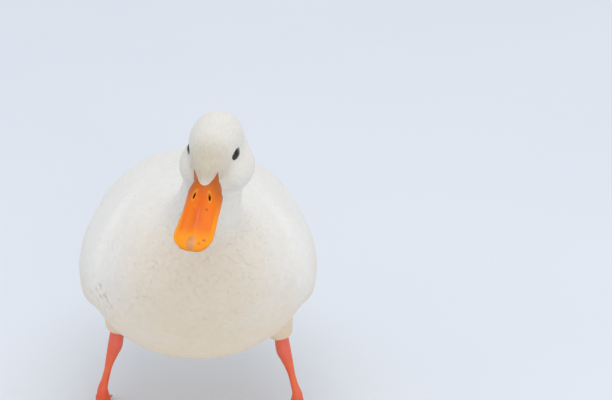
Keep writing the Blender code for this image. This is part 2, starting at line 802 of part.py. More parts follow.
def wing_vane(side, root, tip, half_width, lifts, tilt, rows):
    """A feather on the wing's sheet, from root to tip, each the place along and the angle in degrees. lifts
    are its heights over the sheet at both ends, and tilt lifts its lower edge over its upper one."""
    top, bottom = [], []
    for share in vane_shares(rows):
        width, thick = through(VANE_OUTLINE, share)
        along = root[0] + (tip[0] - root[0]) * share
        angle = math.radians(root[1] + (tip[1] - root[1]) * (share + 0.22 * share * (1 - share)))
        rear_rate, round_rate = unit_steps(side, along, angle)
        # The way of the feather over the sheet, and square to it
        way = Vector(((tip[0] - root[0]) * rear_rate, math.radians(tip[1] - root[1]) * round_rate)).normalized()
        lift = lifts[0] + (lifts[1] - lifts[0]) * share
        high_row, low_row = [], []
        for across in (-1, 0, 1):
            reach = across * half_width * width
            edge_along = along - way.y * reach / rear_rate
            edge_angle = angle + way.x * reach / round_rate
            height = lift + tilt * across * width - 0.35 * MM * across * across
            half = VANE_THICK / 2 * thick * (1 if across == 0 else 0.7)
            high_row.append(mantle_point(side, edge_along, edge_angle, height + half))
            low_row.append(mantle_point(side, edge_along, edge_angle, height - half))
        top.append(high_row)
        bottom.append(low_row)
    return plate("vane", top, bottom)


# The tiers of a folded wing: count and rows of points a feather, then for the first and the last feather
# the place of its root and tip, each along and in degrees, then half width, lift at root and tip of the
# first and of the last feather, and tilt. The first feather of a tier is its lowest.
WING_TIERS = {
    "primaries": (5, 5, ((96, 66), (194, 33)), ((106, 50), (234, 15)), 8.5, (-9, -5.0), (-8, -2.5), 0.5),
    "secondaries": (7, 4, ((5, 96), (94, 103)), ((84, 62), (152, 66)), 12.5, (-5.5, -3.2), (-8.5, -3.0), 1.0),
    "tertials": (4, 5, ((62, 62), (156, 58)), ((70, 30), (208, 17)), 15.0, (-7, -1.6), (-6, -0.6), 0.9),
    "greater coverts": (8, 4, ((-48, 100), (36, 105)), ((36, 46), (100, 50)), 11.5, (-4, -0.9), (-5.5, 0.0), 0.9),
    "median coverts": (7, 4, ((-84, 97), (-8, 105)), ((-14, 44), (44, 50)), 11.5, (-3.5, 0.7), (-3.5, 1.1), 0.8),
    "scapulars": (5, 4, ((-50, 46), (44, 43)), ((20, 20), (118, 14)), 15.0, (-3, 2.0), (-4.5, 2.0), 0.8),
}


def wing_vanes(side, dice):
    vanes = []
    for count, rows, first, last, half_width, first_lifts, last_lifts, tilt in WING_TIERS.values():
        for i in range(count):
            share = i / (count - 1)
            ends = []
            for near, far in zip(first, last):
                along = near[0] + (far[0] - near[0]) * share + dice.uniform(-1.2, 1.2)
                angle = near[1] + (far[1] - near[1]) * share + dice.uniform(-0.5, 0.5)
                ends.append((along * MM, angle))
            lifts = [(a + (b - a) * share + dice.uniform(-0.12, 0.12)) * MM for a, b in zip(first_lifts, last_lifts)]
            vanes.append(wing_vane(side, *ends, half_width * MM, lifts, tilt * MM, rows))
    return vanes


def wing(name, torso, tail):
    """A folded wing: a core with tiers of feathers whose roots are sunk in it."""
    side = 1 if name == "left" else -1
    dice = random.Random(SEED)
    whole = joined(f"wing_{name}", [wing_core(side), *wing_vanes(side, dice)])
    lightened(largest(whole), VANES_KEPT)
    cut_from(whole, swollen(torso))
    cut_from(largest(whole), swollen(tail))
    return finished(largest(whole), "plumage")


def tail_point(back, out, up):
    """A point of the tail's own axes, from its root to the rear, out to the left, and up."""
    root = body_point(TAIL_ROOT, 0, 17 * MM)
    turn = Matrix.Rotation(-BODY_PITCH + TAIL_LIFT, 3, "X")
    return root + turn @ Vector((out, back, up))


def tail_core():
    """The rump, which the tail's feathers grow from."""
    keys = [
        (0, 30 * MM, 22 * MM),
        (25 * MM, 30 * MM, 16 * MM),
        (50 * MM, 27 * MM, 9.5 * MM),
        (64 * MM, 18 * MM, 4 * MM),
        (68 * MM, 8 * MM, 1.5 * MM),
    ]
    rings = []
    for i in range(9):
        back = 68 * MM * i / 8
        half_width, half_height = through(keys, back)
        up = tail_point(0, 0, 1) - tail_point(0, 0, 0)
        rings.append(oval(tail_point(back, 0, -1 * MM), Vector((1, 0, 0)), up, half_width, half_height, 16))
    return ringed("tail_core", rings)


def tail_vane(root, tip, half_width, heights, arch, rows=4):
    """A feather of the tail from root to tip, each the place back and out. heights are those of both its
    ends, and arch bends it down towards the tail's sides."""
    top, bottom = [], []
    way = Vector((tip[0] - root[0], tip[1] - root[1])).normalized()
    for share in vane_shares(rows):
        width, thick = through(VANE_OUTLINE, share)
        back = root[0] + (tip[0] - root[0]) * share
        out = root[1] + (tip[1] - root[1]) * share
        height = heights[0] + (heights[1] - heights[0]) * share
        high_row, low_row = [], []
        for across in (-1, 0, 1):
            x = out + way.x * across * half_width * width
            y = back - way.y * across * half_width * width
            z = height - arch * x * x - 0.3 * MM * across * across
            half = VANE_THICK / 2 * thick * (1 if across == 0 else 0.7)
            high_row.append(tail_point(y, x, z + half))
            low_row.append(tail_point(y, x, z - half))
        top.append(high_row)
        bottom.append(low_row)
    return plate("vane", top, bottom)


# The tail's tiers: feathers a side, root back and out, tip back and out of the inmost and the outmost
# feather, half width, height at root and tip of the inmost, step down to the next one out
TAIL_TIERS = {
    "tail feathers": (7, (38, 3.0), (112, 5.5), (30, 19), (84, 43), 10.0, (-2.5, 2.5), -1.3),
    "upper coverts": (2, (14, 6.0), (68, 8.0), (10, 17), (56, 25), 11.0, (6.0, 5.5), -1.3),
    "lower coverts": (2, (14, 6.0), (80, 8.0), (10, 17), (64, 25), 11.0, (-15.0, -13.0), 1.3),
}
TAIL_ARCH = 3.2  # in height for each metre out, squared


def tail_vanes(dice):
    vanes = []
    for count, near_root, near_tip, far_root, far_tip, half_width, heights, step in TAIL_TIERS.values():
        for side in (1, -1):
            for i in range(count):
                share = i / (count - 1)
                ends = []
                for near, far in ((near_root, far_root), (near_tip, far_tip)):
                    back = near[0] + (far[0] - near[0]) * share ** 1.5 + dice.uniform(-1, 1)
                    out = near[1] + (far[1] - near[1]) * share + dice.uniform(-0.3, 0.3)
                    ends.append((back * MM, side * out * MM))
                low = [h + step * (i + (0.5 if side < 0 else 0)) for h in heights]
                vanes.append(tail_vane(*ends, half_width * MM, [h * MM for h in low], TAIL_ARCH))
    return vanes


def tail(torso):
    dice = random.Random(SEED)
    whole = joined("tail", [tail_core(), *tail_vanes(dice)])
    lightened(largest(whole), VANES_KEPT)
    cut_from(whole, swollen(torso))
    return finished(largest(whole), "plumage")


def centred(objects):
    """Moves the duck so that the origin is under the middle of its box, on the floor."""
    points = np.array([v.co for obj in objects for v in obj.data.vertices])
    low, high = points.min(0), points.max(0)
    shift = Vector((-(low[0] + high[0]) / 2, -(low[1] + high[1]) / 2, -low[2]))
    for obj in objects:
        obj.data.transform(Matrix.Translation(shift))
        obj.data.update()
    return shift


def main():
    for obj in list(bpy.data.objects):
        bpy.data.objects.remove(obj)
    torso, neck, head = trunk()
    bills = bill()
    head_with_eyes(head, bills)
    for name in ("left", "right"):
        leg(name, torso)
    rump = tail(torso)
    for name in ("left", "right"):
        wing(name, torso, rump)
    return centred([obj for obj in bpy.data.objects if obj.type == "MESH"])


SHIFT = main()
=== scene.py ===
"""A white domestic duck, life size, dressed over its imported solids: one skin under a coat of feathers,
folded wings and a tail of long vanes, a bill with nostrils and nail, lidded eyes, and webbed feet.

Metres, +Z up. The duck faces -Y and its left side is at +X.
"""

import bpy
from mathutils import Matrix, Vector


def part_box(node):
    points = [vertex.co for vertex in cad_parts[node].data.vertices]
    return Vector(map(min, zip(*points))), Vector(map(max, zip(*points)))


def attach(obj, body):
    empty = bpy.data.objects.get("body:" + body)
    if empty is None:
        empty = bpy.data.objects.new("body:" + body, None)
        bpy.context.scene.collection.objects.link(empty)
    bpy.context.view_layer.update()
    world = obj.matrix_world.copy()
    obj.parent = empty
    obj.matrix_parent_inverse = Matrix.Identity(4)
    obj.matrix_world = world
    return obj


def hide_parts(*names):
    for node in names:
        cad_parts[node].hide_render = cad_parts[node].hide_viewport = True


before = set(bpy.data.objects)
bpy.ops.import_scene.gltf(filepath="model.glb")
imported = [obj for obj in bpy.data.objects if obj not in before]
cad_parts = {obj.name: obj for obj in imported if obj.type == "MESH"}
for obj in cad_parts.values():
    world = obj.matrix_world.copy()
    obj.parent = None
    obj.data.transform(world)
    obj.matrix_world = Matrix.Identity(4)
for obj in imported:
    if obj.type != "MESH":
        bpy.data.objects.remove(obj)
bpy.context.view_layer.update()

import math

import bmesh
import bpy
import numpy as np
from mathutils import Matrix, Vector, noise
from mathutils.bvhtree import BVHTree

MM = 0.001
SEED = 11

# The torso: where it is, and how its own axes lie
SHIFT = np.array((0, -7.7514, 0)) * MM  # puts the origin under the middle of the solids' box
BODY_CENTRE = np.array((0, 0, 160)) * MM + SHIFT
BODY_PITCH = math.radians(13)
TORSO_FRONT = -180 * MM
TORSO_REAR = 190 * MM

# The head's axes start from the notch of feathers on the ridge of the bill
NOTCH = np.array((5.6, -205, 299)) * MM + SHIFT
HEAD_YAW = math.radians(16)
HEAD_PITCH = math.radians(27.3)
HEAD_ROLL = math.radians(-3)
EYE_RADIUS = 6.6 * MM

# The bill
BILL_ROOT = -15 * MM
BILL_LENGTH = 56.3 * MM
NOSTRIL = (9.6 * MM, 6.5 * MM)  # forward of the notch, and out
NOSTRIL_SIZE = (2.7 * MM, 1.05 * MM)  # half its length and width
NOSTRIL_TURN = math.radians(14)
NOSTRIL_DEPTH = 2.0  # millimetres

# The legs
HEEL_OUT = 74 * MM
HEEL_HEIGHT = 68 * MM
ANKLE_OUT = 88 * MM
ANKLE_HEIGHT = 16 * MM
HEEL_BACK = 13 * MM
ANKLE_BACK = {"left": -4 * MM, "right": 14 * MM}
FOOT_SPLAY = math.radians(9)

# The toes: name, angle from the foot's own way towards its outside, length without the claw, radius
TOES = [
    ("inner", math.radians(-32), 44 * MM, 3.4 * MM),
    ("middle", math.radians(-2), 58 * MM, 3.9 * MM),
    ("outer", math.radians(26), 54 * MM, 3.5 * MM),
]
HIND_TOE = ("hind", math.radians(196), 13 * MM, 2.4 * MM)
CLAW_LENGTH = 7 * MM
CLAW_GAP = 0.35 * MM
WEB_THICK = 1.5 * MM
WEB_REACH = 0.97  # of the toes' length
WEB_HOLLOW = 0.13  # how far its front edge draws back between two toes, as a share of its length
WEB_FOLD, WEB_FOLDS = 0.22 * MM, 3

# The wings and the tail
WING_FRONT = -122 * MM
CORE_END = 128 * MM
TAIL_ROOT = 150 * MM
TAIL_RAISED = 17 * MM
TAIL_LIFT = math.radians(17)
TAIL_ARCH = 3.2  # the tail sinks by this times the square of the place out

SIDES = {"left": 1, "right": -1}


# Places and curves. These functions take arrays


def stacked(x, y, z):
    return np.stack(np.broadcast_arrays(x, y, z), -1)


def unit(vectors):
    return vectors / np.maximum(np.linalg.norm(vectors, axis=-1, keepdims=True), 1e-12)


def dot(a, b):
    return (a * b).sum(-1)


def eased(x, low, high):
    """0 below low, 1 above high, and smooth between them."""
    x = np.clip((x - low) / (high - low), 0, 1)
    return x * x * (3 - 2 * x)


def faded(x, low, high):
    """1 below low, 0 above high, and smooth between them."""
    return eased(-x, -high, -low)


def hump(x, width):
    """1 where x is 0, about a third at the width, and next to nothing at twice that."""
    return np.exp(-((x / width) ** 2))


def between(first, last, share):
    """What lies that share of the way from first to last."""
    return first + (last - first) * share


def turned(angle, axis):
    return np.array(Matrix.Rotation(angle, 3, axis))


BODY_TURN = turned(-BODY_PITCH, "X")
TAIL_TURN = turned(-BODY_PITCH + TAIL_LIFT, "X")


def head_axes():
    """The head's forward, left and up directions, one a row."""
    forward, left, up = Vector((0, -1, 0)), Vector((1, 0, 0)), Vector((0, 0, 1))
    turn = Matrix.Rotation(-HEAD_YAW, 3, up)
    forward, left = turn @ forward, turn @ left
    turn = Matrix.Rotation(HEAD_PITCH, 3, left)
    forward, up = turn @ forward, turn @ up
    turn = Matrix.Rotation(HEAD_ROLL, 3, forward)
    return np.array((forward, turn @ left, turn @ up))


HEAD_AXES = head_axes()
HEAD_FORWARD, HEAD_LEFT, HEAD_UP = HEAD_AXES


def standing(x, y, z):
    """A place given in millimetres from the floor under the middle of the torso."""
    return np.array((x, y, z)) * MM + SHIFT


def body_points(along, out, up):
    return BODY_CENTRE + stacked(out, along, up) @ BODY_TURN.T


def body_places(points):
    """How far along, out and up the points lie in the torso's own axes."""
    out, along, up = np.moveaxis((points - BODY_CENTRE) @ BODY_TURN, -1, 0)
    return along, out, up


def head_points(forward, left, up):
    return NOTCH + stacked(forward, left, up) @ HEAD_AXES


def head_places(points):
    """How far forward, left and up the points lie in the head's own axes."""
    return np.moveaxis((points - NOTCH) @ HEAD_AXES.T, -1, 0)


def tail_points(back, out, up):
    root = body_points(TAIL_ROOT, 0, TAIL_RAISED)
    return root + stacked(out, back, up) @ TAIL_TURN.T


class Curve:
    """A smooth curve through rows of (t, value, ...). It never overshoots a row."""

    def __init__(self, rows, scale=1):
        rows = np.array(rows, float)
        self.t, self.values = rows[:, 0], rows[:, 1:] * scale
        slopes = np.diff(self.values, axis=0) / np.diff(self.t)[:, None]
        before, after = slopes[:-1], slopes[1:]
        same = before * after > 0
        inner = np.where(same, 2 * before * after / np.where(same, before + after, 1), 0)
        self.tangents = np.concatenate((slopes[:1], inner, slopes[-1:]))

    def rows(self, t):
        t = np.clip(np.asarray(t, float), self.t[0], self.t[-1])
        i = np.clip(np.searchsorted(self.t, t) - 1, 0, len(self.t) - 2)
        h = (self.t[i + 1] - self.t[i])[..., None]
        x = (t - self.t[i])[..., None] / h
        near = (2 * x**3 - 3 * x**2 + 1) * self.values[i] + (x**3 - 2 * x**2 + x) * h * self.tangents[i]
        far = (3 * x**2 - 2 * x**3) * self.values[i + 1] + (x**3 - x**2) * h * self.tangents[i + 1]
        return near + far

    def __call__(self, t):
        """Its values at t, one array each."""
        values = np.moveaxis(self.rows(t), -1, 0)
        return values[0] if len(values) == 1 else values


# Meshes


def linked(name, bm):
    """The object of a bmesh, with its faces pointing out."""
    bmesh.ops.recalc_face_normals(bm, faces=bm.faces)
    mesh = bpy.data.meshes.new(name)
    bm.to_mesh(mesh)
    bm.free()
    mesh.shade_smooth()
    obj = bpy.data.objects.new(name, mesh)
    bpy.context.scene.collection.objects.link(obj)
    return obj


def reshaped(bm, places):
    """Moves every vertex to what places gives for the array of the old ones."""
    old = np.array([v.co for v in bm.verts])
    for vert, place in zip(bm.verts, places(old)):
        vert.co = place
    return bm


def lofted(place, around, along):
    """A closed body from a ball's mesh: place gives its points for arrays of a station from 0 to 1 and an
    angle, and its two poles come to the middles of the end rings."""

    def loft(ball):
        ring = np.arccos(np.clip(-ball[:, 2], -1, 1)) / math.pi * along
        station = np.clip((ring - 1) / (along - 2), 0, 1)
        angle = np.arctan2(ball[:, 0], ball[:, 1])
        points = place(station, angle)
        middles = sum(place(station, angle * 0 + math.tau * i / 4) for i in range(4)) / 4
        pole = (ring < 0.5) | (ring > along - 0.5)
        return np.where(pole[:, None], middles, points)

    bm = bmesh.new()
    bmesh.ops.create_uvsphere(bm, u_segments=around, v_segments=along, radius=1)
    return reshaped(bm, loft)


def ball(centre, radii, axes=np.identity(3)):
    """An ellipsoid with its radii along the rows of axes."""
    bm = bmesh.new()
    bmesh.ops.create_uvsphere(bm, u_segments=32, v_segments=16, radius=1)
    return reshaped(bm, lambda old: centre + (old * np.array(radii)) @ axes)


def slab(place, cuts):
    """A closed plate from a cube's mesh: place gives its points for three arrays from 0 to 1."""
    bm = bmesh.new()
    bmesh.ops.create_cube(bm, size=1)
    bmesh.ops.subdivide_edges(bm, edges=bm.edges, cuts=cuts, use_grid_fill=True)
    return reshaped(bm, lambda old: place(*np.moveaxis(old + 0.5, -1, 0)))


def tubed(curve, around, along, flatten=1.0):
    """A body round a curve of (t, x, y, z, radius), with flatten as its depth over its width."""
    end = curve.t[-1]
    step = 0.02 * end

    def place(station, angle):
        t = station * end
        x, y, z, radius = curve(t)
        ahead, behind = curve.rows(t + step), curve.rows(t - step)
        way = unit((ahead - behind)[..., :3])
        across = unit(np.cross(way, (0, 1, 0)))
        up = np.cross(way, across)
        side, rise = radius * np.sin(angle), radius * flatten * np.cos(angle)
        return stacked(x, y, z) + across * side[..., None] + up * rise[..., None]

    return lofted(place, around, along)


def merged(shapes):
    """One bmesh of several."""
    whole = bmesh.new()
    for shape in shapes:
        mesh = bpy.data.meshes.new("passing")
        shape.to_mesh(mesh)
        shape.free()
        whole.from_mesh(mesh)
        bpy.data.meshes.remove(mesh)
    return whole


SMOOTHING = 0.5  # how far a point goes to the middle of its neighbours in a round


def fused(name, shapes, voxel, rounds):
    """One smooth closed body from overlapping shapes."""
    obj = linked(name, merged(shapes))
    remesh = obj.modifiers.new("fuse", "REMESH")
    remesh.mode = "VOXEL"
    remesh.voxel_size = voxel
    smooth = obj.modifiers.new("smooth", "SMOOTH")
    smooth.iterations = rounds
    smooth.factor = SMOOTHING
    graph = bpy.context.evaluated_depsgraph_get()
    mesh = bpy.data.meshes.new_from_object(obj.evaluated_get(graph))
    mesh.shade_smooth()
    obj.modifiers.clear()
    obj.data = mesh
    return obj


def points_of(mesh):
    points = np.empty(len(mesh.vertices) * 3)
    mesh.vertices.foreach_get("co", points)
    return points.reshape(-1, 3)


def normals_of(mesh):
    normals = np.empty(len(mesh.vertices) * 3, np.float32)
    mesh.vertex_normals.foreach_get("vector", normals)
    return normals.reshape(-1, 3).astype(float)


def edges_of(mesh):
    """The numbers of the two ends of every edge."""
    ends = np.empty(len(mesh.edges) * 2, np.int32)
    mesh.edges.foreach_get("vertices", ends)
    return ends.reshape(-1, 2)


def moved_points(mesh, points):
    mesh.vertices.foreach_set("co", points.ravel())
    mesh.update()


# The flesh: the same forms that the solids are made from

TORSO_SHAPE = Curve(
    [
        (-180, 2, 6, 6, 8),
        (-173, 1, 34, 33, 40),
        (-152, -3, 60, 54, 68),
        (-110, -8, 81, 71.5, 89),
        (-50, -12, 89, 78, 98),
        (10, -12, 90.5, 77, 99),
        (70, -7, 84, 70, 92),
        (120, 2, 66, 57, 75),
        (155, 9, 50, 40, 55),
        (180, 14, 34, 25, 38),
        (190, 17, 19, 14, 24),
    ],
    MM,
)  # millimetres along the torso: the middle of its section, its heights over and under that, half width
ROOF = 1.8  # the section over the widest line is a little more pointed than an ellipse


def section_points(angle, over, under, half_width):
    """Places out and up from the middle of the body's widest line, at an angle from the top."""
    x, y = np.sin(angle), np.cos(angle)
    high = y > 0
    peak = 2 / ROOF
    out = half_width * np.where(high, np.sign(x) * np.abs(x) ** peak, x)
    return out, np.where(high, over * np.abs(y) ** peak, under * y)


def torso_form():
    def place(station, angle):
        along = between(TORSO_FRONT, TORSO_REAR, 0.5 - 0.5 * np.cos(math.pi * station))
        middle, over, under, half_width = TORSO_SHAPE(along / MM)
        out, up = section_points(angle, over, under, half_width)
        return body_points(along, out, middle + up)

    return lofted(place, 64, 64)


def neck_form():
    rows = [
        (0, *head_points(-46 * MM, 0, -2 * MM), 20 * MM),
        (1, *head_points(-50 * MM, 0, -14 * MM), 25 * MM),
        (2, *standing(11.5, -147, 268), 26 * MM),
        (3, *standing(4.5, -128, 232), 36 * MM),
        (4, *standing(0, -96, 196), 56 * MM),
        (5, *standing(0, -60, 170), 62 * MM),
    ]
    return tubed(Curve(rows), 48, 40)


# Millimetres forward, left and up from the notch, and three radii
HEAD_LUMPS = [
    (-42, 0, 4.2, 30, 22.8, 24),  # crown
    (-55, 0, -2, 21, 21, 22),  # nape
    (-25, 0, 2, 22, 17.5, 15),  # forehead
    (-8, 0, -3.8, 13.3, 8.5, 7),  # wedge of feathers on the ridge of the bill
    (-22, 0, -14, 22, 17.5, 14),  # face
    (-35, 15.6, -15.5, 24, 18, 17),  # left cheek
    (-35, -12.8, -15.5, 24, 18, 17),  # right cheek
    (-30, 0, -20, 25, 16, 13),  # throat
]


def head_forms():
    forms = []
    for forward, left, up, *radii in HEAD_LUMPS:
        centre = head_points(forward * MM, left * MM, up * MM)
        forms.append(ball(centre, np.array(radii) * MM, HEAD_AXES))
    return forms


def leg_frame(name):
    """Which way is out for a leg, and the places of its heel and of the top of its foot."""
    side = SIDES[name]
    back = ANKLE_BACK[name]
    heel = np.array((side * HEEL_OUT, back + HEEL_BACK, HEEL_HEIGHT)) + SHIFT
    return side, heel, np.array((side * ANKLE_OUT, back, ANKLE_HEIGHT)) + SHIFT


def thigh_rows(name):
    side, heel, _ = leg_frame(name)
    return [
        (0, side * 52 * MM, heel[1] - 12 * MM, 128 * MM, 38 * MM),
        (1, side * 61 * MM, heel[1] - 6.5 * MM, 104 * MM, 28 * MM),
        (2, side * 68.5 * MM, heel[1] - 3.5 * MM, 86 * MM, 17.5 * MM),
        (3, side * 72.5 * MM, heel[1] - 3 * MM, 76 * MM, 13 * MM),
        (3.5, side * 73.5 * MM, heel[1] - 2 * MM, 70 * MM, 11 * MM),
    ]


# The sheet that the folded wings lie in, read as TORSO_SHAPE is
MANTLE_SHAPE = Curve(
    [
        (-150, -3, 62, 60, 75),
        (-110, -8, 85, 80, 95),
        (-50, -12, 95, 89, 104.5),
        (10, -12, 97.5, 90, 106),
        (70, -6, 91, 82, 100),
        (120, 3, 75, 66, 84),
        (160, 12, 58, 52, 64),
        (200, 18, 47, 42, 46),
        (240, 22, 41, 34, 32),
    ],
    MM,
)

# Millimetres along the wing's flesh: the angles of its upper and lower edge, in degrees, how far its
# face lies over the sheet, and its depth
WING_CORE = Curve(
    [
        (-122, 74, 84, -2, 14),
        (-112, 58, 98, -1, 16),
        (-85, 42, 107, 0, 16),
        (-30, 26, 110, 0, 16),
        (20, 20, 105, -1, 15),
        (70, 20, 94, -3.5, 13),
        (110, 20, 78, -5.5, 10),
        (128, 24, 66, -7, 6),
    ]
)


NUDGE = 0.01  # radians: a small turn to measure the sheet's slope by


def mantle_points(side, along, angle, lift):
    """Points over the sheet that the wings lie in, at an angle from the middle of the back."""
    middle, over, under, half_width = MANTLE_SHAPE(along / MM)
    x, y = section_points(angle, over, under, half_width)
    nx, ny = section_points(angle + NUDGE, over, under, half_width)
    px, py = section_points(angle - NUDGE, over, under, half_width)
    out, up = py - ny, nx - px
    size = np.hypot(out, up)
    return body_points(along, side * (x + lift * out / size), middle + y + lift * up / size)


def mantle_places(points):
    """The place along the body and the angle from the middle of the back, in degrees, of points."""
    along, out, up = body_places(points)
    middle, over, under, half_width = MANTLE_SHAPE(along / MM)
    across, rise = np.abs(out) / half_width, up - middle
    high = rise > 0
    grow = ROOF / 2
    x = np.where(high, across**grow, across)
    y = np.where(high, np.abs(rise / over) ** grow, rise / under)
    return along, np.degrees(np.arctan2(x, y))


def wing_form(side):
    def place(x, y, z):
        along = between(WING_FRONT, CORE_END, x)
        high, low, lift, depth = WING_CORE(along / MM)
        return mantle_points(side, along, np.radians(between(high, low, y)), (lift - depth * z) * MM)

    return slab(place, 16)


# Millimetres along the feathers of the back: how far they lie over the sheet
BACK_LIFT = Curve([(-128, -9.0), (-100, -5.0), (-60, -3.2), (60, -3.2), (110, -4.0), (150, -6.0)])
BACK_START, BACK_LENGTH, BACK_DEPTH = -128, 278, 14  # millimetres
BACK_SPREAD = 50  # degrees from the middle of the back to the edge of its feathers


def back_form():
    """The feathers of the back, which fill the trough between the wings."""

    def place(x, y, z):
        along = (BACK_START + BACK_LENGTH * x) * MM
        angle = np.radians(2 * BACK_SPREAD * y - BACK_SPREAD)
        return mantle_points(1, along, angle, (BACK_LIFT(along / MM) - BACK_DEPTH * z) * MM)

    return slab(place, 16)


# Millimetres back from the tail's root: half the width and half the height of its flesh
TAIL_SHAPE = Curve([(0, 30, 22), (25, 30, 16), (50, 27, 9.5), (64, 18, 4), (68, 8, 1.5)], MM)
TAIL_FLESH = 68  # millimetres long


def tail_form():
    def place(station, angle):
        half_width, half_height = TAIL_SHAPE(TAIL_FLESH * station)
        out, up = half_width * np.sin(angle), half_height * np.cos(angle)
        return tail_points(TAIL_FLESH * MM * station, out, up - 1 * MM)

    return lofted(place, 32, 24)


LEAST_GAP = 0.01 * MM  # keeps a corner that a place lies on from counting without end


class Surface:
    """A mesh to lay feathers on: it finds the nearest places on itself and its smooth normals there."""

    def __init__(self, mesh):
        self.points = points_of(mesh)
        self.normals = normals_of(mesh)
        self.quads = np.empty(len(mesh.polygons) * 4, int)
        mesh.polygons.foreach_get("vertices", self.quads)
        self.quads = self.quads.reshape(-1, 4)
        self.tree = BVHTree.FromPolygons(self.points.tolist(), self.quads.tolist())

    def nearest(self, places):
        flat = places.reshape(-1, 3)
        near = self.tree.find_nearest
        found = [near(place) for place in flat.tolist()]
        on = np.array([hit[0][:] for hit in found])
        corners = self.quads[np.array([hit[2] for hit in found])]
        weights = 1 / (np.linalg.norm(self.points[corners] - on[:, None], axis=-1) + LEAST_GAP)
        normals = unit((self.normals[corners] * weights[..., None]).sum(1))
        return on.reshape(places.shape), normals.reshape(places.shape)


FORM_VOXEL = 2.0 * MM
FORM_SMOOTHING = 24
BODY_SMOOTHING = 70
RIPPLE = 0.4 * MM  # how much the coat's outline wavers
RIPPLE_WAVES = (28, 60)  # turns a metre of its long and its short waves
EYE_DIP, EYE_DIP_SPAN = 0.5 * MM, 7 * MM  # how deep and how far the skin sinks round an eye

# Down the guide from the bill: where the body starts, where it ends in the tail, and where the wavering
# of the outline sets in
BODY_START = (190 * MM, 260 * MM)
BODY_END = (390 * MM, 450 * MM)
RIPPLE_START = (110 * MM, 200 * MM)


def relaxed(mesh, points, weights, rounds):
    """The points after smoothing, each as much as its weight says."""
    a, b = edges_of(mesh).T
    total = len(points)
    count = np.bincount(a, minlength=total) + np.bincount(b, minlength=total)
    for _ in range(rounds):
        sums = [np.bincount(a, points[b, i], total) + np.bincount(b, points[a, i], total) for i in range(3)]
        points = points + (np.stack(sums, 1) / count[:, None] - points) * (SMOOTHING * weights)[:, None]
    return points


def coat_form():
    """The outline that the coat fills: torso, neck, head, thighs, and the flesh of wings and tail."""
    shapes = [torso_form(), neck_form(), *head_forms(), back_form(), tail_form()]
    for name, side in SIDES.items():
        shapes.append(wing_form(side))
        shapes.append(tubed(Curve(thigh_rows(name)), 24, 16))
    form = fused("skin", shapes, FORM_VOXEL, FORM_SMOOTHING)
    points = points_of(form.data)
    reach = reach_of(points)
    thighs = sum(on_thigh(points, name)[0] for name in SIDES)
    body = eased(reach, *BODY_START) * faded(reach, *BODY_END)
    moved_points(form.data, relaxed(form.data, points, body * (1 - thighs), BODY_SMOOTHING))
    points, normals = points_of(form.data), normals_of(form.data)
    body = eased(reach, *RIPPLE_START)
    long, short = RIPPLE_WAVES
    ripple = np.array([noise.noise(Vector(p) * long) + 0.5 * noise.noise(Vector(p) * short) for p in points])
    points += normals * (RIPPLE * ripple * body)[:, None]
    for eye in EYES:
        off = np.linalg.norm(points - eye.lid_centre, axis=1)
        points -= normals * (EYE_DIP * hump(off, EYE_DIP_SPAN))[:, None]
    moved_points(form.data, points)
    return form


# The way that the feathers lie

GUIDE_STEPS = 90


def guide():
    """Places down the middle of head, neck, body and tail, the way at each, the reach from the bill, and
    how far around each one counts."""
    bends = [
        (*head_points(10 * MM, 0, -10 * MM), 9 * MM),
        (*head_points(-20 * MM, 0, -7 * MM), 13 * MM),
        (*head_points(-44 * MM, 0, -6 * MM), 16 * MM),
        (*standing(13, -147, 268), 19 * MM),
        (*standing(6, -128, 232), 27 * MM),
        (*standing(0, -96, 196), 40 * MM),
        (*standing(0, -50, 172), 50 * MM),
        (*body_points(0, 0, 0), 55 * MM),
        (*body_points(80 * MM, 0, 0), 50 * MM),
        (*body_points(150 * MM, 0, 12 * MM), 34 * MM),
        (*tail_points(40 * MM, 0, 0), 24 * MM),
        (*tail_points(115 * MM, 0, 2 * MM), 22 * MM),
    ]
    curve = Curve([(i, *bend) for i, bend in enumerate(bends)])
    readings = curve.rows(np.linspace(0, len(bends) - 1, GUIDE_STEPS))
    places, spans = readings[:, :3], readings[:, 3]
    ways = unit(np.gradient(places, axis=0))
    steps = np.linalg.norm(np.diff(places, axis=0), axis=1)
    return places, ways, np.concatenate(([0], np.cumsum(steps))), spans


GUIDE_PLACES, GUIDE_WAYS, GUIDE_REACH, GUIDE_SPANS = guide()


def guide_weights(points):
    """How much each step of the guide counts at each point."""
    gaps = ((points[:, None] - GUIDE_PLACES) ** 2).sum(-1)
    powers = -gaps / (2 * GUIDE_SPANS**2)
    weights = np.exp(powers - powers.max(1, keepdims=True))
    return weights / weights.sum(1, keepdims=True)


POINTS_AT_ONCE = 8000


def in_parts(work):
    """Runs a function of arrays of many points on a few thousand at a time."""

    def run(*arrays):
        starts = range(0, len(arrays[0]), POINTS_AT_ONCE)
        parts = [[array[i : i + POINTS_AT_ONCE] for array in arrays] for i in starts]
        return np.concatenate([work(*part) for part in parts])

    return run


@in_parts
def reach_of(points):
    """How far down the guide from the bill the points lie."""
    return guide_weights(points) @ GUIDE_REACH


THIGH_TOP = (90 * MM, 112 * MM)  # the height where the thigh's feathers go over into the body's
THIGH_GIRTH = (20 * MM, 34 * MM)  # and how far out from the thigh's axis


def on_thigh(points, name):
    """How much the points belong to a thigh, from 0 to 1, and the way down it."""
    rows = np.array(thigh_rows(name))[:, 1:4]
    top, bottom = rows[1], rows[-1]
    axis = unit(bottom - top)
    off = points - top
    far = np.linalg.norm(off - dot(off, axis)[:, None] * axis, axis=1)
    return faded(points[:, 2], *THIGH_TOP) * faded(far, *THIGH_GIRTH), axis


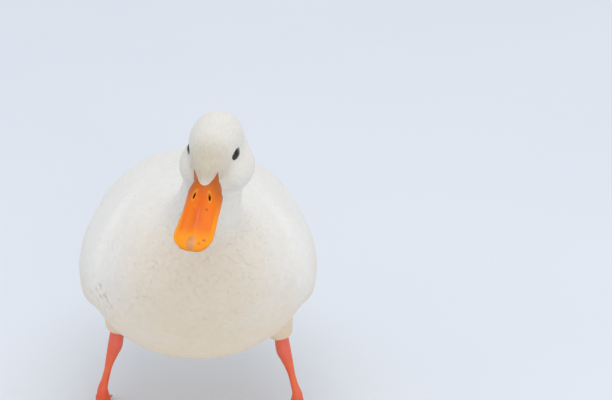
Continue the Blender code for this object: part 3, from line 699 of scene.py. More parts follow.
# How much closer together the feathers stand round the eyes and on the thighs, and how much shallower
# the coat is on the thighs
EYE_FINER, EYE_SPAN = 0.3, 10 * MM
THIGH_FINER, THIGH_SHALLOWER = 0.42, 0.4
EYE_BEND = (6.5 * MM, 13 * MM)  # between these, out from the lids' middle, the bend round an eye fades


def coat_at(points):
    """How far apart the feathers stand, and the depth of the coat."""
    spacing, depth = COAT(reach_of(points) / MM)
    small = sum(on_thigh(points, name)[0] for name in SIDES)
    for eye in EYES:
        gap = np.linalg.norm(points - eye.lid_centre, axis=1)
        spacing = spacing * (1 - EYE_FINER * hump(gap, EYE_SPAN))
    return spacing * (1 - THIGH_FINER * small), depth * (1 - THIGH_SHALLOWER * small)


@in_parts
def lie_of(points, normals):
    """The way that a feather lies at each point: down the guide, down the thighs, and round the eyes."""
    ways = guide_weights(points) @ GUIDE_WAYS
    for name in SIDES:
        share, axis = on_thigh(points, name)
        ways = ways * (1 - share)[:, None] + axis * share[:, None]
    ways = unit(ways - dot(ways, normals)[:, None] * normals)
    for eye in EYES:
        off = points - eye.lid_centre
        gap = np.linalg.norm(off, axis=1)
        towards = unit(-(off - dot(off, eye.way)[:, None] * eye.way))
        facing = np.maximum(dot(ways, towards), 0)
        bend = facing * faded(gap, *EYE_BEND)
        ways = ways - towards * bend[:, None]
    return unit(ways - dot(ways, normals)[:, None] * normals)


def unwrapped(points):
    """Where points lie on an unwrap of the body: round the guide and down it, both from 0 to 1."""
    weights = guide_weights(points)
    middle, way = weights @ GUIDE_PLACES, unit(weights @ GUIDE_WAYS)
    across = unit(np.cross(way, (0, 0.2, 1)))
    over = np.cross(across, way)
    off = points - middle
    angle = np.arctan2(dot(off, across), dot(off, over))
    down = weights @ GUIDE_REACH
    return np.stack((0.5 + 0.49 * angle / math.pi, 0.01 + 0.98 * down / GUIDE_REACH[-1]), -1)


# Feathers

# Millimetres down from the bill: how far apart the feathers stand, and the depth of the coat
COAT = Curve(
    [
        (0, 0.95, 0.3),
        (22, 1.1, 0.5),
        (52, 1.4, 0.7),
        (85, 1.8, 0.9),
        (107, 2.1, 1.0),
        (148, 2.7, 1.1),
        (196, 3.2, 1.1),
        (248, 3.6, 1.1),
        (300, 3.9, 1.2),
        (450, 4.2, 1.6),
        (570, 3.8, 1.5),
    ],
    MM,
)
TRIES = 7  # places tried for each one that is kept
CELL = 0.866  # the area that a point has among evenly packed ones, over their spacing squared
PATCH = 0.003  # the size of a feather's patch on its map


class Layout:
    """The grid of a closed vane: points on top, and inner points below that share its rim. Its rows crowd
    towards the tip."""

    def __init__(self, rows, crowding, across):
        self.share = 1 - (1 - np.linspace(0, 1, rows)) ** crowding
        self.across = np.array(across, float)
        columns = len(across)
        top = np.arange(rows * columns).reshape(rows, columns)
        below = top.copy()
        inner = (rows - 2) * (columns - 2)
        below[1:-1, 1:-1] = rows * columns + np.arange(inner).reshape(rows - 2, columns - 2)
        self.count = rows * columns + inner
        self.faces = np.concatenate((self.quads(top), self.quads(below)[:, ::-1]))
        self.rim = np.zeros(self.count, bool)
        self.rim[np.concatenate((top[0], top[-1], top[:, 0], top[:, -1]))] = True

    @staticmethod
    def quads(grid):
        corners = (grid[:-1, :-1], grid[1:, :-1], grid[1:, 1:], grid[:-1, 1:])
        return np.stack(corners, -1).reshape(-1, 4)

    @property
    def triangles(self):
        return 2 * len(self.faces)

    def packed(self, tops, bottoms):
        """The values of the top's grid and the bottom's, (feathers, rows, columns, n), in mesh order."""
        count, size = len(tops), tops.shape[-1]
        inner = bottoms[:, 1:-1, 1:-1].reshape(count, -1, size)
        return np.concatenate((tops.reshape(count, -1, size), inner), axis=1)


FINE = Layout(5, 1.6, (-1, -0.4, 0.4, 1))
MIDDLING = Layout(6, 1.6, (-1, -0.55, 0, 0.55, 1))
FLIGHT = Layout(22, 1.3, (-1, -0.86, -0.66, -0.42, -0.18, -0.055, 0, 0.055, 0.18, 0.42, 0.66, 0.86, 1))
COVERT = Layout(13, 1.3, (-1, -0.8, -0.5, -0.2, -0.06, 0.06, 0.2, 0.5, 0.8, 1))


class Plumes:
    """Feathers of one layout, gathered until they become a piece."""

    def __init__(self, layout, outline, flip=False):
        self.layout, self.outline = layout, outline
        self.faces = layout.faces[:, ::-1] if flip else layout.faces
        self.tops, self.bottoms, self.sizes, self.patches, self.tones = [], [], [], [], []

    def add(self, tops, bottoms, half_widths, lengths, patches, tones):
        self.tops.append(tops)
        self.bottoms.append(bottoms)
        self.sizes.append(np.stack(np.broadcast_arrays(half_widths, lengths), -1).reshape(len(tops), 2))
        self.patches.append(patches)
        self.tones.append(tones)

    def piece(self, name):
        """The mesh of all of them, with a map for baking and one that gives each vertex's place on its
        feather in millimetres."""
        layout = self.layout
        points = layout.packed(np.concatenate(self.tops), np.concatenate(self.bottoms))
        sizes, patches = np.concatenate(self.sizes), np.concatenate(self.patches)
        tones = np.concatenate(self.tones)
        count = len(points)
        firsts = np.arange(count) * layout.count
        faces = (self.faces[None] + firsts[:, None, None]).reshape(-1, 4)
        grid = np.stack(np.meshgrid(layout.across, layout.share), -1)[None]
        flat = layout.packed(grid, grid)
        bake = patches[:, None] + PATCH * (flat - (0, 0.5)) * (0.5, 1)
        narrowed = grid * np.stack((self.outline(layout.share), np.ones(len(layout.share))), -1)[:, None]
        vane = layout.packed(narrowed, narrowed) * (sizes / MM)[:, None]
        mesh = bpy.data.meshes.new(name)
        mesh.vertices.add(count * layout.count)
        mesh.vertices.foreach_set("co", points.ravel())
        mesh.loops.add(faces.size)
        mesh.loops.foreach_set("vertex_index", faces.ravel().astype(np.int32))
        mesh.polygons.add(len(faces))
        mesh.polygons.foreach_set("loop_start", np.arange(0, faces.size, 4, dtype=np.int32))
        mesh.update(calc_edges=True)
        for map_name, values in (("OFBake", bake), ("Vane", vane)):
            layer = mesh.uv_layers.new(name=map_name)
            layer.uv.foreach_set("vector", values.reshape(-1, 2)[faces.ravel()].ravel())
        tone = mesh.attributes.new("tone", "FLOAT", "POINT")
        tone.data.foreach_set("value", np.repeat(tones, layout.count))
        sharp = mesh.attributes.new("sharp_edge", "BOOLEAN", "EDGE")
        sharp.data.foreach_set("value", layout.rim[edges_of(mesh) % layout.count].all(1))
        mesh.polygons.foreach_set("use_smooth", np.ones(len(faces), bool))
        mesh.update()
        obj = bpy.data.objects.new(name, mesh)
        bpy.context.scene.collection.objects.link(obj)
        return obj


def thinned(points, spacing):
    """The numbers of the points that stay when each keeps its spacing free of the ones before it."""
    levels = np.floor(np.log2(spacing / MM)).astype(int)
    grids = {int(level): {} for level in set(levels.tolist())}
    cells = {level: np.floor(points / (2.0 ** (level + 1) * MM)).astype(int).tolist() for level in grids}
    steps = [(i, j, k) for i in (-1, 0, 1) for j in (-1, 0, 1) for k in (-1, 0, 1)]
    places, squares, levels = points.tolist(), (spacing**2).tolist(), levels.tolist()
    kept = []
    for n, (x, y, z) in enumerate(places):
        level, room = levels[n], squares[n]
        grid = grids[level]
        cx, cy, cz = cells[level][n]
        free = True
        for i, j, k in steps:
            for px, py, pz in grid.get((cx + i, cy + j, cz + k), ()):
                if (px - x) ** 2 + (py - y) ** 2 + (pz - z) ** 2 < room:
                    free = False
                    break
            if not free:
                break
        if free:
            kept.append(n)
            for each, its in grids.items():
                its.setdefault(tuple(cells[each][n]), []).append((x, y, z))
    return np.array(kept)


# Where the long feathers of the wing cover the body: from the angle, the millimetres along where that
# starts, and from the millimetres along, the angle where it ends
COVERED_FROM = Curve(
    [(14, 60), (18, 18), (30, -2), (44, -22), (54, -16), (75, -46), (97, -76), (104, -82)],
    MM,
)
COVERED_TO = Curve([(-90, 92), (-20, 99), (60, 96), (94, 90), (128, 72), (140, 60)])
COVERED_REAR = 138 * MM
COVERED_TOP = 17  # the angle of the wings' upper edge, in degrees from the middle of the back
DEGREE = 1.4  # about how many millimetres wide a degree of the wing's sheet is
BACK_MIDDLE = 10 * MM  # no wing lies nearer to the middle of the back
UNDER_WING = 3.5 * MM  # how much deeper the skin lies under the wing's long feathers

# The bill's two horns climb the forehead beside the wedge of feathers. Millimetres up from the notch:
# how far out a horn's inner and its outer edge lie
HORN = Curve(
    [
        (-9, 0, 10.2),
        (-1.5, 0, 10.3),
        (-1.3, 2, 10.3),
        (-0.7, 4, 10.4),
        (0.3, 5.6, 10.4),
        (1.9, 7.3, 10.4),
        (3.9, 8.7, 10.3),
        (6.2, 9.6, 10),
    ],
    MM,
)
HORN_TOP = 6.2 * MM
HORN_FOOT = 8 * MM  # how far below the notch its plate starts
HORN_START = 30 * MM  # in front of the face: from here the horn is cast back onto it
HORN_SINK, HORN_THICK = 4, 4.5  # millimetres: how deep its plate starts in the face, and its thickness
HORN_MORE = 1.8 * MM  # how much further out the foot of the right horn reaches


def horn_edges(left, up):
    """How far out a horn's inner and outer edges lie, on the side and at the height of each point."""
    inner, outer = HORN(up / MM)
    return inner, outer + HORN_MORE * (left < 0) * faded(up, -8 * MM, 5 * MM)


def winged(points):
    """How far the points lie behind the front edge of the wing's long feathers. Negative is outside."""
    along, angle = mantle_places(points)
    behind = np.minimum(along - COVERED_FROM(angle), COVERED_REAR - along)
    within = np.minimum(angle - COVERED_TOP, COVERED_TO(along / MM) - angle) * DEGREE * MM
    return np.where(np.abs(points[:, 0]) > BACK_MIDDLE, np.minimum(behind, within), -MM)


# How far back of the notch no feather grows on the bill and on its horns, how low on the horns, how much
# of the lids is bare, and how far the small feathers reach in under the wing
BARE_BILL, BARE_HORN, BARE_HORN_FOOT = -8 * MM, -14 * MM, -9 * MM
BARE_LIDS = 0.93
WING_HOLD = 3 * MM


def bare(points):
    """True where no feather grows: in the bill, on the eyes and under the folded wings."""
    forward, left, up = head_places(points)
    ridge, edge, half_width, square = UPPER_BILL(forward / MM)
    aside = np.abs(left)
    high = np.clip((up - edge) / (ridge - edge), 0, None)
    inside = (aside / half_width) ** (square / MM) + high ** (square / MM) < 1
    inside &= (up > edge - LOWER_BILL_DEPTH) & (forward > BARE_BILL)
    inner, outer = horn_edges(left, up)
    on_horn = (up > BARE_HORN_FOOT) & (up < HORN_TOP) & (aside > inner) & (aside < outer)
    inside |= on_horn & (forward > BARE_HORN)
    for eye in EYES:
        inside |= eye.opening(points) < BARE_LIDS
    return inside | (winged(points) > WING_HOLD)


def scattered(surface, dice):
    """Places for feathers all over the surface, closer together where the feathers are small."""
    corners = surface.points[surface.quads]
    centres = corners.mean(1)
    diagonals = corners[:, 2] - corners[:, 0], corners[:, 3] - corners[:, 1]
    areas = np.linalg.norm(np.cross(*diagonals), axis=1) / 2
    spacing, _ = coat_at(centres)
    counts = np.floor(areas / (CELL * spacing**2) * TRIES + dice.random(len(areas))).astype(int)
    index = np.repeat(np.arange(len(areas)), counts)
    u, v = dice.random((2, len(index), 1))
    c = corners[index]
    points = (c[:, 0] * (1 - u) + c[:, 1] * u) * (1 - v) + (c[:, 3] * (1 - u) + c[:, 2] * u) * v
    points = points[dice.permutation(len(points))]
    points = points[~bare(points)]
    spacing, _ = coat_at(points)
    return points[thinned(points, spacing)]


# How wide a small feather is down its length, as a share of its widest
PLUME_OUTLINE = Curve([(0, 0.45), (0.3, 0.9), (0.55, 1), (0.72, 0.95), (0.86, 0.8), (0.95, 0.57), (1, 0.28)])

# How a small feather differs from the next: its sway in radians, its length and width, how ragged its
# tip is and how much it curls aside, both as shares of its length, and how much its tip rises, as a
# share of the coat's depth
PLUME_SWAY = 0.11
PLUME_SIZES = (0.86, 1.16)
PLUME_RAGGED = 0.008
PLUME_CURL = 0.05
PLUME_RISE = 0.012
# How deep its root sits, how much it bows across, how far its rim turns down, and how thick it is, as
# shares of the coat's depth
ROOT_SITS = 0.9
PLUME_BOW = 0.025
RIM_DROP = 0.05
PLUME_THICK = 0.16
LID_PLUME = 0.45  # how long a feather is, for its place, where it would reach over the lids


def small_feathers(plumes, surface, points, wide, long, dice):
    """Lays small feathers on the surface from their roots at points."""
    layout = plumes.layout
    roots, normals = surface.nearest(points)
    spacing, depth = coat_at(roots)
    ways = lie_of(roots, normals)
    across = np.cross(normals, ways)
    sway = dice.normal(0, PLUME_SWAY, (len(points), 1))
    ways, across = ways * np.cos(sway) + across * np.sin(sway), across * np.cos(sway) - ways * np.sin(sway)
    vary = dice.uniform(*PLUME_SIZES, (2, len(points)))
    lengths, half_widths = spacing * long * vary[0], spacing * wide * vary[1] / 2
    for eye in EYES:
        on_lids = eye.opening(roots + ways * lengths[:, None]) < 1
        lengths = np.where(on_lids, LID_PLUME * lengths, lengths)
    share, u = layout.share[None, :, None], layout.across[None, None, :]
    ragged = 1 + dice.normal(0, PLUME_RAGGED, (len(points), 1, len(layout.across))) * share**3
    reach = lengths[:, None, None] * share * ragged * (1 - 0.05 * u**2 * share)
    side = half_widths[:, None, None] * u * PLUME_OUTLINE(layout.share)[None, :, None]
    curl = dice.normal(0, PLUME_CURL, (len(points), 1, 1)) * lengths[:, None, None] * share**2
    flat = roots[:, None, None] + ways[:, None, None] * reach[..., None]
    flat = flat + across[:, None, None] * (side + curl)[..., None]
    on, up = surface.nearest(flat)
    deep, rise = depth[:, None, None], dice.uniform(-PLUME_RISE, PLUME_RISE, (len(points), 1, 1))
    rim = np.maximum(u**6, eased(share, 0.84, 1.0))
    sunk_in = ROOT_SITS * (1 - share) ** 2.3
    height = -deep * (sunk_in - rise * share + PLUME_BOW * u**2 + RIM_DROP * rim)
    thick = PLUME_THICK * deep * (1 - u**2) * (1 - 0.7 * share)
    tops = on + up * height[..., None]
    bottoms = on + up * (height - thick)[..., None]
    plumes.add(tops, bottoms, half_widths, lengths, unwrapped(roots), dice.uniform(0, 1, len(points)))


COAT_MOST = 190_000  # triangles a piece
# The coat's parts: layout, from and up to what spacing in millimetres, and how wide and how long their
# feathers are, times the spacing
COAT_PARTS = {
    "head": (FINE, 0, 1.95, 1.7, 4.6),
    "neck": (MIDDLING, 1.95, 3.1, 2.1, 4.5),
    "body": (MIDDLING, 3.1, 99, 2.3, 4.4),
}


def coat(surface, dice):
    """The small feathers of head, neck, body and thighs, in pieces from the bill to the tail."""
    points = scattered(surface, dice)
    reach = reach_of(points)
    points = points[np.argsort(reach)]
    spacing, _ = coat_at(points)
    pieces = []
    for label, (layout, least, most, wide, long) in COAT_PARTS.items():
        chosen = points[(spacing >= least * MM) & (spacing < most * MM)]
        parts = math.ceil(len(chosen) * layout.triangles / COAT_MOST)
        for i, part in enumerate(np.array_split(chosen, parts)):
            plumes = Plumes(layout, PLUME_OUTLINE)
            small_feathers(plumes, surface, part, wide, long, dice)
            pieces.append((label, plumes.piece(f"coat_{label}_{i + 1}")))
    return pieces


# The wings' and the tail's long feathers

VANE_OUTLINE = Curve([(0, 0.3), (0.12, 0.62), (0.32, 0.9), (0.6, 1), (0.8, 0.9), (0.92, 0.66), (1, 0.1)])
SHAFT_RISE = 0.28 * MM
SHAFT_WIDTH = 0.05  # as a share of the vane's
VANE_THICK = 0.45 * MM
SIDE_DROP, TIP_DROP = 0.35, 0.75  # millimetres that a long feather's sides and tip turn down
SPLIT_PLACES = (0.35, 0.95)  # where along a long feather its barbs may come apart
# How far a split spreads along it, as a share of its length, and how far it pushes the barbs, as a
# share of half its width
SPLIT_WIDTH, SPLIT_PUSH = 0.035, 0.16
SINK_MOST = 9 * MM  # how far a long feather may sink to lie on the body


def vane_profile(layout):
    """Over a long feather's grid: the shaft's ridge, and the share of the thickness."""
    share, u = layout.share[:, None], layout.across[None]
    ridge = hump(u, SHAFT_WIDTH) * (1 - 0.75 * share)
    return SHAFT_RISE * ridge, VANE_THICK * (1 - u**2) * (1 - 0.55 * share)


def rim_drop(layout):
    """How far the rim of a long feather turns down onto the next."""
    share, u = layout.share[:, None], layout.across[None]
    return MM * np.maximum(SIDE_DROP * u**8, TIP_DROP * eased(share, 0.88, 1.0))


def split_edges(layout, dice):
    """How far each point of a long feather is pushed along it, where its barbs have come apart."""
    share, u = layout.share[:, None], layout.across[None]
    push = 0 * share * u
    for _ in range(dice.integers(0, 3)):
        place, side = dice.uniform(*SPLIT_PLACES), dice.choice((-1, 1))
        near = hump(share - place, SPLIT_WIDTH)
        push = push - SPLIT_PUSH * near * eased(side * u, 0.3, 1.0)
    return push


def sunk(surface, places, outward):
    """How far the body's surface lies under the places, along the outward way at each."""
    on, _ = surface.nearest(places)
    return np.clip(dot(places - on, outward), 0, SINK_MOST)


VANE_BOW = 0.3 * MM  # how much a wing feather bows across
BEND = 0.22  # how much a wing feather bends on its way from root to tip
# Degrees from the middle of the back where the wing starts to tuck in above and below, and the
# millimetres that it tucks in for each degree past them
TUCK_ABOVE, TUCK_BELOW = (24, 0.3), (95, 0.28)


def wing_feather(plumes, side, root, tip, half_width, lifts, tilt, lead, hug, surface, dice):
    """A feather on the wing's sheet, from root to tip, each the place along and the angle in degrees. lifts
    are its heights over the sheet at both ends, tilt lifts its lower edge, lead shifts its shaft, and hug
    is how much its root and its tip keep to a surface that lies below the sheet."""
    layout = plumes.layout
    share, u = layout.share, layout.across[None]
    width = VANE_OUTLINE(share)[:, None]
    along = between(root[0], tip[0], share)
    angle = np.radians(between(root[1], tip[1], share + BEND * share * (1 - share)))
    here = mantle_points(side, along, angle, 0)
    rear = np.linalg.norm(mantle_points(side, along + MM, angle, 0) - here, axis=-1) / MM
    turn = np.linalg.norm(mantle_points(side, along, angle + NUDGE, 0) - here, axis=-1) / NUDGE
    down, back = math.radians(tip[1] - root[1]) * turn, (tip[0] - root[0]) * rear
    size = np.hypot(down, back)
    down, back = (down / size)[:, None], (back / size)[:, None]
    rear, turn = rear[:, None], turn[:, None]
    push = split_edges(layout, dice) * half_width
    reach = (u + lead * (1 - u**2)) * half_width * width * (1 + 0.25 * push / half_width)
    edge_along = along[:, None] + (-down * reach + back * push) / rear
    edge_angle = angle[:, None] + (back * reach + down * push) / turn
    ridge, thick = vane_profile(layout)
    lift = lifts[1] + (lifts[0] - lifts[1]) * (1 - share) ** 3.4
    if any(hug):
        ends = here[[0, -1]]
        above = unit(mantle_points(side, along, angle, MM) - here)[[0, -1]]
        drops = sunk(surface, ends, above) * hug
        lift = lift - between(*drops, share)
    turns = np.degrees(edge_angle)
    tuck = np.clip(TUCK_ABOVE[0] - turns, 0, None) * TUCK_ABOVE[1]
    tuck = tuck + np.clip(turns - TUCK_BELOW[0], 0, None) * TUCK_BELOW[1]
    height = lift[:, None] + tilt * u * width - VANE_BOW * u**2 - tuck * MM - rim_drop(layout)
    tops = mantle_points(side, edge_along, edge_angle, height + ridge)
    bottoms = mantle_points(side, edge_along, edge_angle, height - thick)
    length = np.linalg.norm(np.diff(here, axis=0), axis=-1).sum()
    # Its patch lies on the baking map as its root lies on the wing
    patch = (0.08 + 0.84 * (root[0] / MM + 100) / 260, 0.08 + 0.84 * root[1] / 120)
    plumes.add(tops[None], bottoms[None], half_width, length, np.clip([patch], 0.01, 0.99), dice.random(1))


# The tiers of a folded wing, from the back of the pile to its front: layout, count, then for the first
# and the last feather its root and tip, each in millimetres along and in degrees, then half width, lift
# at root and tip of the first and of the last feather, tilt, the shift of the shaft, how much root and
# tip of the last one hug the body, and how uneven the tier is. The first feather of a tier is its lowest.
FLAT, NEAR, BACK = (0, 0), (0, 0.5), (1, 0.75)
WING_TIERS = {
    "primaries": (
        FLIGHT, 9, ((96, 67), (190, 35)), ((108, 48), (236, 14)),
        7.5, (-9.5, -5.0), (-8, -3.2), 0.4, 0.3, NEAR, 0.4,
    ),
    "secondaries": (
        FLIGHT, 13, ((5, 96), (92, 102)), ((86, 60), (158, 62)),
        10.0, (-6.6, -2.4), (-8, -2.8), 0.6, 0.2, FLAT, 0.7,
    ),
    "tertials": (
        FLIGHT, 8, ((60, 64), (150, 60)), ((68, 28), (210, 17)),
        10.5, (-6.8, -1.9), (-6.4, -1.3), 0.6, 0.1, NEAR, 1.2,
    ),
    "greater coverts": (
        COVERT, 15, ((-40, 99), (37, 104)), ((40, 44), (104, 47)),
        9.0, (-5.6, -1.6), (-6.2, -1.5), 0.5, 0.1, FLAT, 1.4,
    ),
    "median coverts": (
        COVERT, 16, ((-62, 98), (4, 104)), ((18, 42), (70, 45)),
        8.2, (-5.2, -1.05), (-5.4, -0.95), 0.4, 0, FLAT, 2.2,
    ),
    "lesser coverts": (
        COVERT, 17, ((-80, 96), (-28, 101)), ((-4, 40), (36, 43)),
        7.0, (-4.6, -0.55), (-4.6, -0.45), 0.3, 0, FLAT, 2.8,
    ),
    "scapulars": (
        COVERT, 11, ((4, 53), (106, 50)), ((46, 21), (146, 15)),
        10.0, (-3.4, 0.0), (-4.6, -0.4), 0.4, 0, BACK, 2.4,
    ),
    "upper scapulars": (
        COVERT, 12, ((-30, 51), (60, 50)), ((16, 18), (98, 13)),
        9.0, (-2.8, 0.5), (-4.2, -0.1), 0.4, 0, BACK, 2.6,
    ),
}
UNEVEN_ALONG, UNEVEN_TURN = 1.4, 0.4  # millimetres and degrees, times how uneven the tier is
VANE_WIDTHS = (0.93, 1.07)  # how much its feathers' widths vary


def wing(name, surface, dice):
    """The long feathers and coverts of a folded wing."""
    side = SIDES[name]
    gathered = {layout: Plumes(layout, VANE_OUTLINE, side > 0) for layout in (FLIGHT, COVERT)}
    for layout, count, first, last, half_width, *lifts, tilt, lead, hug, uneven in WING_TIERS.values():
        plumes = gathered[layout]
        for i in range(count):
            share = i / (count - 1)
            ends = []
            for near, far in zip(first, last):
                along = between(near[0], far[0], share) + dice.uniform(-1, 1) * uneven * UNEVEN_ALONG
                angle = between(near[1], far[1], share) + dice.uniform(-1, 1) * uneven * UNEVEN_TURN
                ends.append((along * MM, angle))
            heights = [(between(*pair, share) + dice.uniform(-0.1, 0.1)) * MM for pair in zip(*lifts)]
            width = half_width * MM * dice.uniform(*VANE_WIDTHS)
            close = np.array(hug) * share
            wing_feather(plumes, side, *ends, width, heights, tilt * MM, lead, close, surface, dice)
    flight = gathered[FLIGHT].piece(f"wing_{name}_flight")
    coverts = gathered[COVERT].piece(f"wing_{name}_coverts")
    return flight, coverts


TAIL_BOW = 0.35 * MM  # how much a tail feather bows across


def tail_feather(plumes, root, tip, half_width, heights, dice):
    """A feather of the tail from root to tip, each the place back and out, at the heights of its ends."""
    layout = plumes.layout
    share, u = layout.share[:, None], layout.across[None]
    way = unit(np.array((tip[0] - root[0], tip[1] - root[1])))
    width = half_width * VANE_OUTLINE(layout.share)[:, None]
    push = split_edges(layout, dice) * half_width
    back, out = between(root[0], tip[0], share), between(root[1], tip[1], share)
    x = out + way[0] * u * width + way[1] * push
    y = back - way[1] * u * width + way[0] * push
    ridge, thick = vane_profile(layout)
    z = between(*heights, share) - TAIL_ARCH * x**2 - TAIL_BOW * u**2 - rim_drop(layout)
    length = math.hypot(tip[0] - root[0], tip[1] - root[1])
    patch = (0.5 + 0.4 * root[1] / (30 * MM), 0.1 + 0.8 * root[0] / (60 * MM))
    tops, bottoms = tail_points(y, x, z + ridge), tail_points(y, x, z - thick)
    plumes.add(tops[None], bottoms[None], half_width, length, np.array([patch]), dice.random(1))


# The tail's tiers: layout, feathers a side, then for the inmost and the outmost feather its root and tip,
# each in millimetres back and out, then half width, height at root and tip of the inmost, and the step
# up to the next one out
TAIL_TIERS = {
    "tail feathers": (FLIGHT, 10, ((38, 2.5), (113, 5)), ((44, 12), (86, 42)), 8.5, (-2.6, 1.6), -0.5),
    "long upper coverts": (COVERT, 8, ((20, 3), (82, 5)), ((30, 12), (66, 29)), 8, (1, 2.8), -0.55),
    "short upper coverts": (COVERT, 8, ((2, 3), (62, 5)), ((18, 12), (52, 25)), 8, (4.5, 4.9), -0.7),
    "long lower coverts": (COVERT, 8, ((18, 3), (92, 5)), ((26, 12), (72, 30)), 8, (-10, -1.6), 0.35),
    "short lower coverts": (COVERT, 8, ((2, 3), (72, 5)), ((18, 12), (58, 26)), 8, (-15.5, -4.6), 0.5),
}


def tail(dice):
    """The tail's feathers, and the coverts over and under their roots."""
    gathered = {layout: Plumes(layout, VANE_OUTLINE, True) for layout in (FLIGHT, COVERT)}
    for layout, count, inmost, outmost, half_width, heights, step in TAIL_TIERS.values():
        for side in SIDES.values():
            for i in range(count):
                share = i / (count - 1)
                ends = []
                for near, far in zip(inmost, outmost):
                    back = between(near[0], far[0], share**1.5) + dice.uniform(-0.8, 0.8)
                    out = between(near[1], far[1], share) + dice.uniform(-0.3, 0.3)
                    ends.append(np.array((back, side * out)) * MM)
                # The right side's feathers lie half a step from the left side's
                stepped = [(h + step * (i + (0.5 if side < 0 else 0))) * MM for h in heights]
                tail_feather(gathered[layout], *ends, half_width * MM, stepped, dice)
    return gathered[FLIGHT].piece("tail_feathers"), gathered[COVERT].piece("tail_coverts")


# The skin

SKIN_IN = 0.45  # how deep the skin lies in the coat, as a share of the coat's depth
SOCKET = 5 * MM  # how much deeper it lies behind an eyeball


def skin_of(form):
    """The form drawn in by a share of the coat's depth, further under the wings and behind the eyes."""
    points, normals = points_of(form.data), normals_of(form.data)
    _, depth = coat_at(points)
    depth = SKIN_IN * depth + UNDER_WING * eased(winged(points), 0, 12 * MM)
    for eye in EYES:
        depth = depth + SOCKET * faded(eye.opening(points), 0.6, 1.0)
    moved_points(form.data, points - normals * depth[:, None])
    return form


# The bill. Millimetres forward of the notch: the height of the ridge and of the mouth's edge, the half
# width, and how square the section is
UPPER_BILL = Curve(
    [
        (-15, 1.5, -15, 10.0, 2.2),
        (-7, 1.1, -16, 12.2, 2.2),
        (-2.6, 0.55, -16.6, 13.4, 2.2),
        (0.4, -0.2, -17.2, 14.8, 2.05),
        (6, -2.3, -18.2, 15, 1.95),
        (19, -8.8, -19.4, 15.4, 2),
        (34, -13.4, -19.6, 16.3, 2.3),
        (44, -14.9, -19.2, 16.7, 2.4),
        (50, -15.5, -19.2, 14.6, 2.4),
        (53.8, -16.3, -19.5, 11.0, 2.2),
        (56.3, -17.8, -20, 5.4, 2),
    ],
    MM,
)
LIP = 1.2 * MM
PALATE = 0.4 * MM  # how much higher the middle of the upper bill's underside is than its edge
LOWER_BILL_DEPTH = 5 * MM
LOWER_BILL_INSET = 1.6 * MM
LOWER_BILL_SHORT = 3 * MM
MOUTH_GAP = 0.35 * MM
LAMELLA = 1.15 * MM  # from one comb plate of the bill's edge to the next
LAMELLA_DEPTH = 0.16 * MM
LOWER_GROOVE = 0.5 * MM
NAIL_WIDTH = 4.4 * MM  # half of it
NAIL_RISE, NAIL_SINK = 0.5, 0.7  # millimetres over and under the bill's surface
# The nail's middle line from its rear to its hook: millimetres forward and up
NAIL_LINE = Curve(
    [
        (-1, 45.2, -13.6),
        (0, 50.6, -14.4),
        (0.55, 54.6, -15.6),
        (0.8, 56.6, -17.4),
        (1, 56.9, -19.6),
    ],
    MM,
)


def nostril_places(forward, left):
    """Places of a bill's points in the nearer nostril's own axes, as shares of its half length and width."""
    x, y = forward - NOSTRIL[0], np.abs(left) - NOSTRIL[1]
    c, s = math.cos(NOSTRIL_TURN), math.sin(NOSTRIL_TURN)
    return (x * c + y * s) / NOSTRIL_SIZE[0], (y * c - x * s) / NOSTRIL_SIZE[1]


def bill_blank():
    """The upper bill without its finer relief."""

    def place(station, angle):
        forward = between(BILL_ROOT, BILL_LENGTH, np.sin(math.pi / 2 * station))
        ridge, edge, half_width, square = UPPER_BILL(forward / MM)
        peak = 2 / (square / MM)
        turn = np.abs(angle)
        arch = turn <= math.pi / 2
        under = np.clip(turn / (math.pi / 2) - 1, 0, 1)
        inward = 0.97 * np.clip((1 - under) / 0.8, 0, 1)
        round_out = np.clip(np.sin(turn), 0, 1) ** peak
        on_lip = under < 0.2
        out = np.where(arch, round_out, np.where(on_lip, 1 - 0.15 * under, inward))
        dome = edge + LIP + (ridge - edge - LIP) * np.abs(np.cos(angle)) ** peak
        sole = np.where(on_lip, edge + LIP * (1 - under / 0.2), edge + PALATE * (1 - inward))
        return head_points(forward, np.sign(angle) * out * half_width, np.where(arch, dome, sole))

    return lofted(place, 96, 80)


def horn_form(surface, side):
    """The horn that climbs the forehead on one side, a plate on the face."""

    def place(x, y, z):
        up = -HORN_FOOT + (HORN_TOP + HORN_FOOT) * y
        inner, outer = horn_edges(side, up)
        left = side * between(inner, outer, x)
        starts = head_points(HORN_START, left, up)
        hits = [surface.tree.ray_cast(Vector(start), Vector(-HEAD_FORWARD))[0] for start in starts]
        forward, _, _ = head_places(np.array([hit[:] for hit in hits]))
        return head_points(np.minimum(forward, 0) + (HORN_THICK * z - HORN_SINK) * MM, left, up)

    return slab(place, 9)


BILL_VOXEL = 0.42 * MM
BILL_SMOOTHING = 14


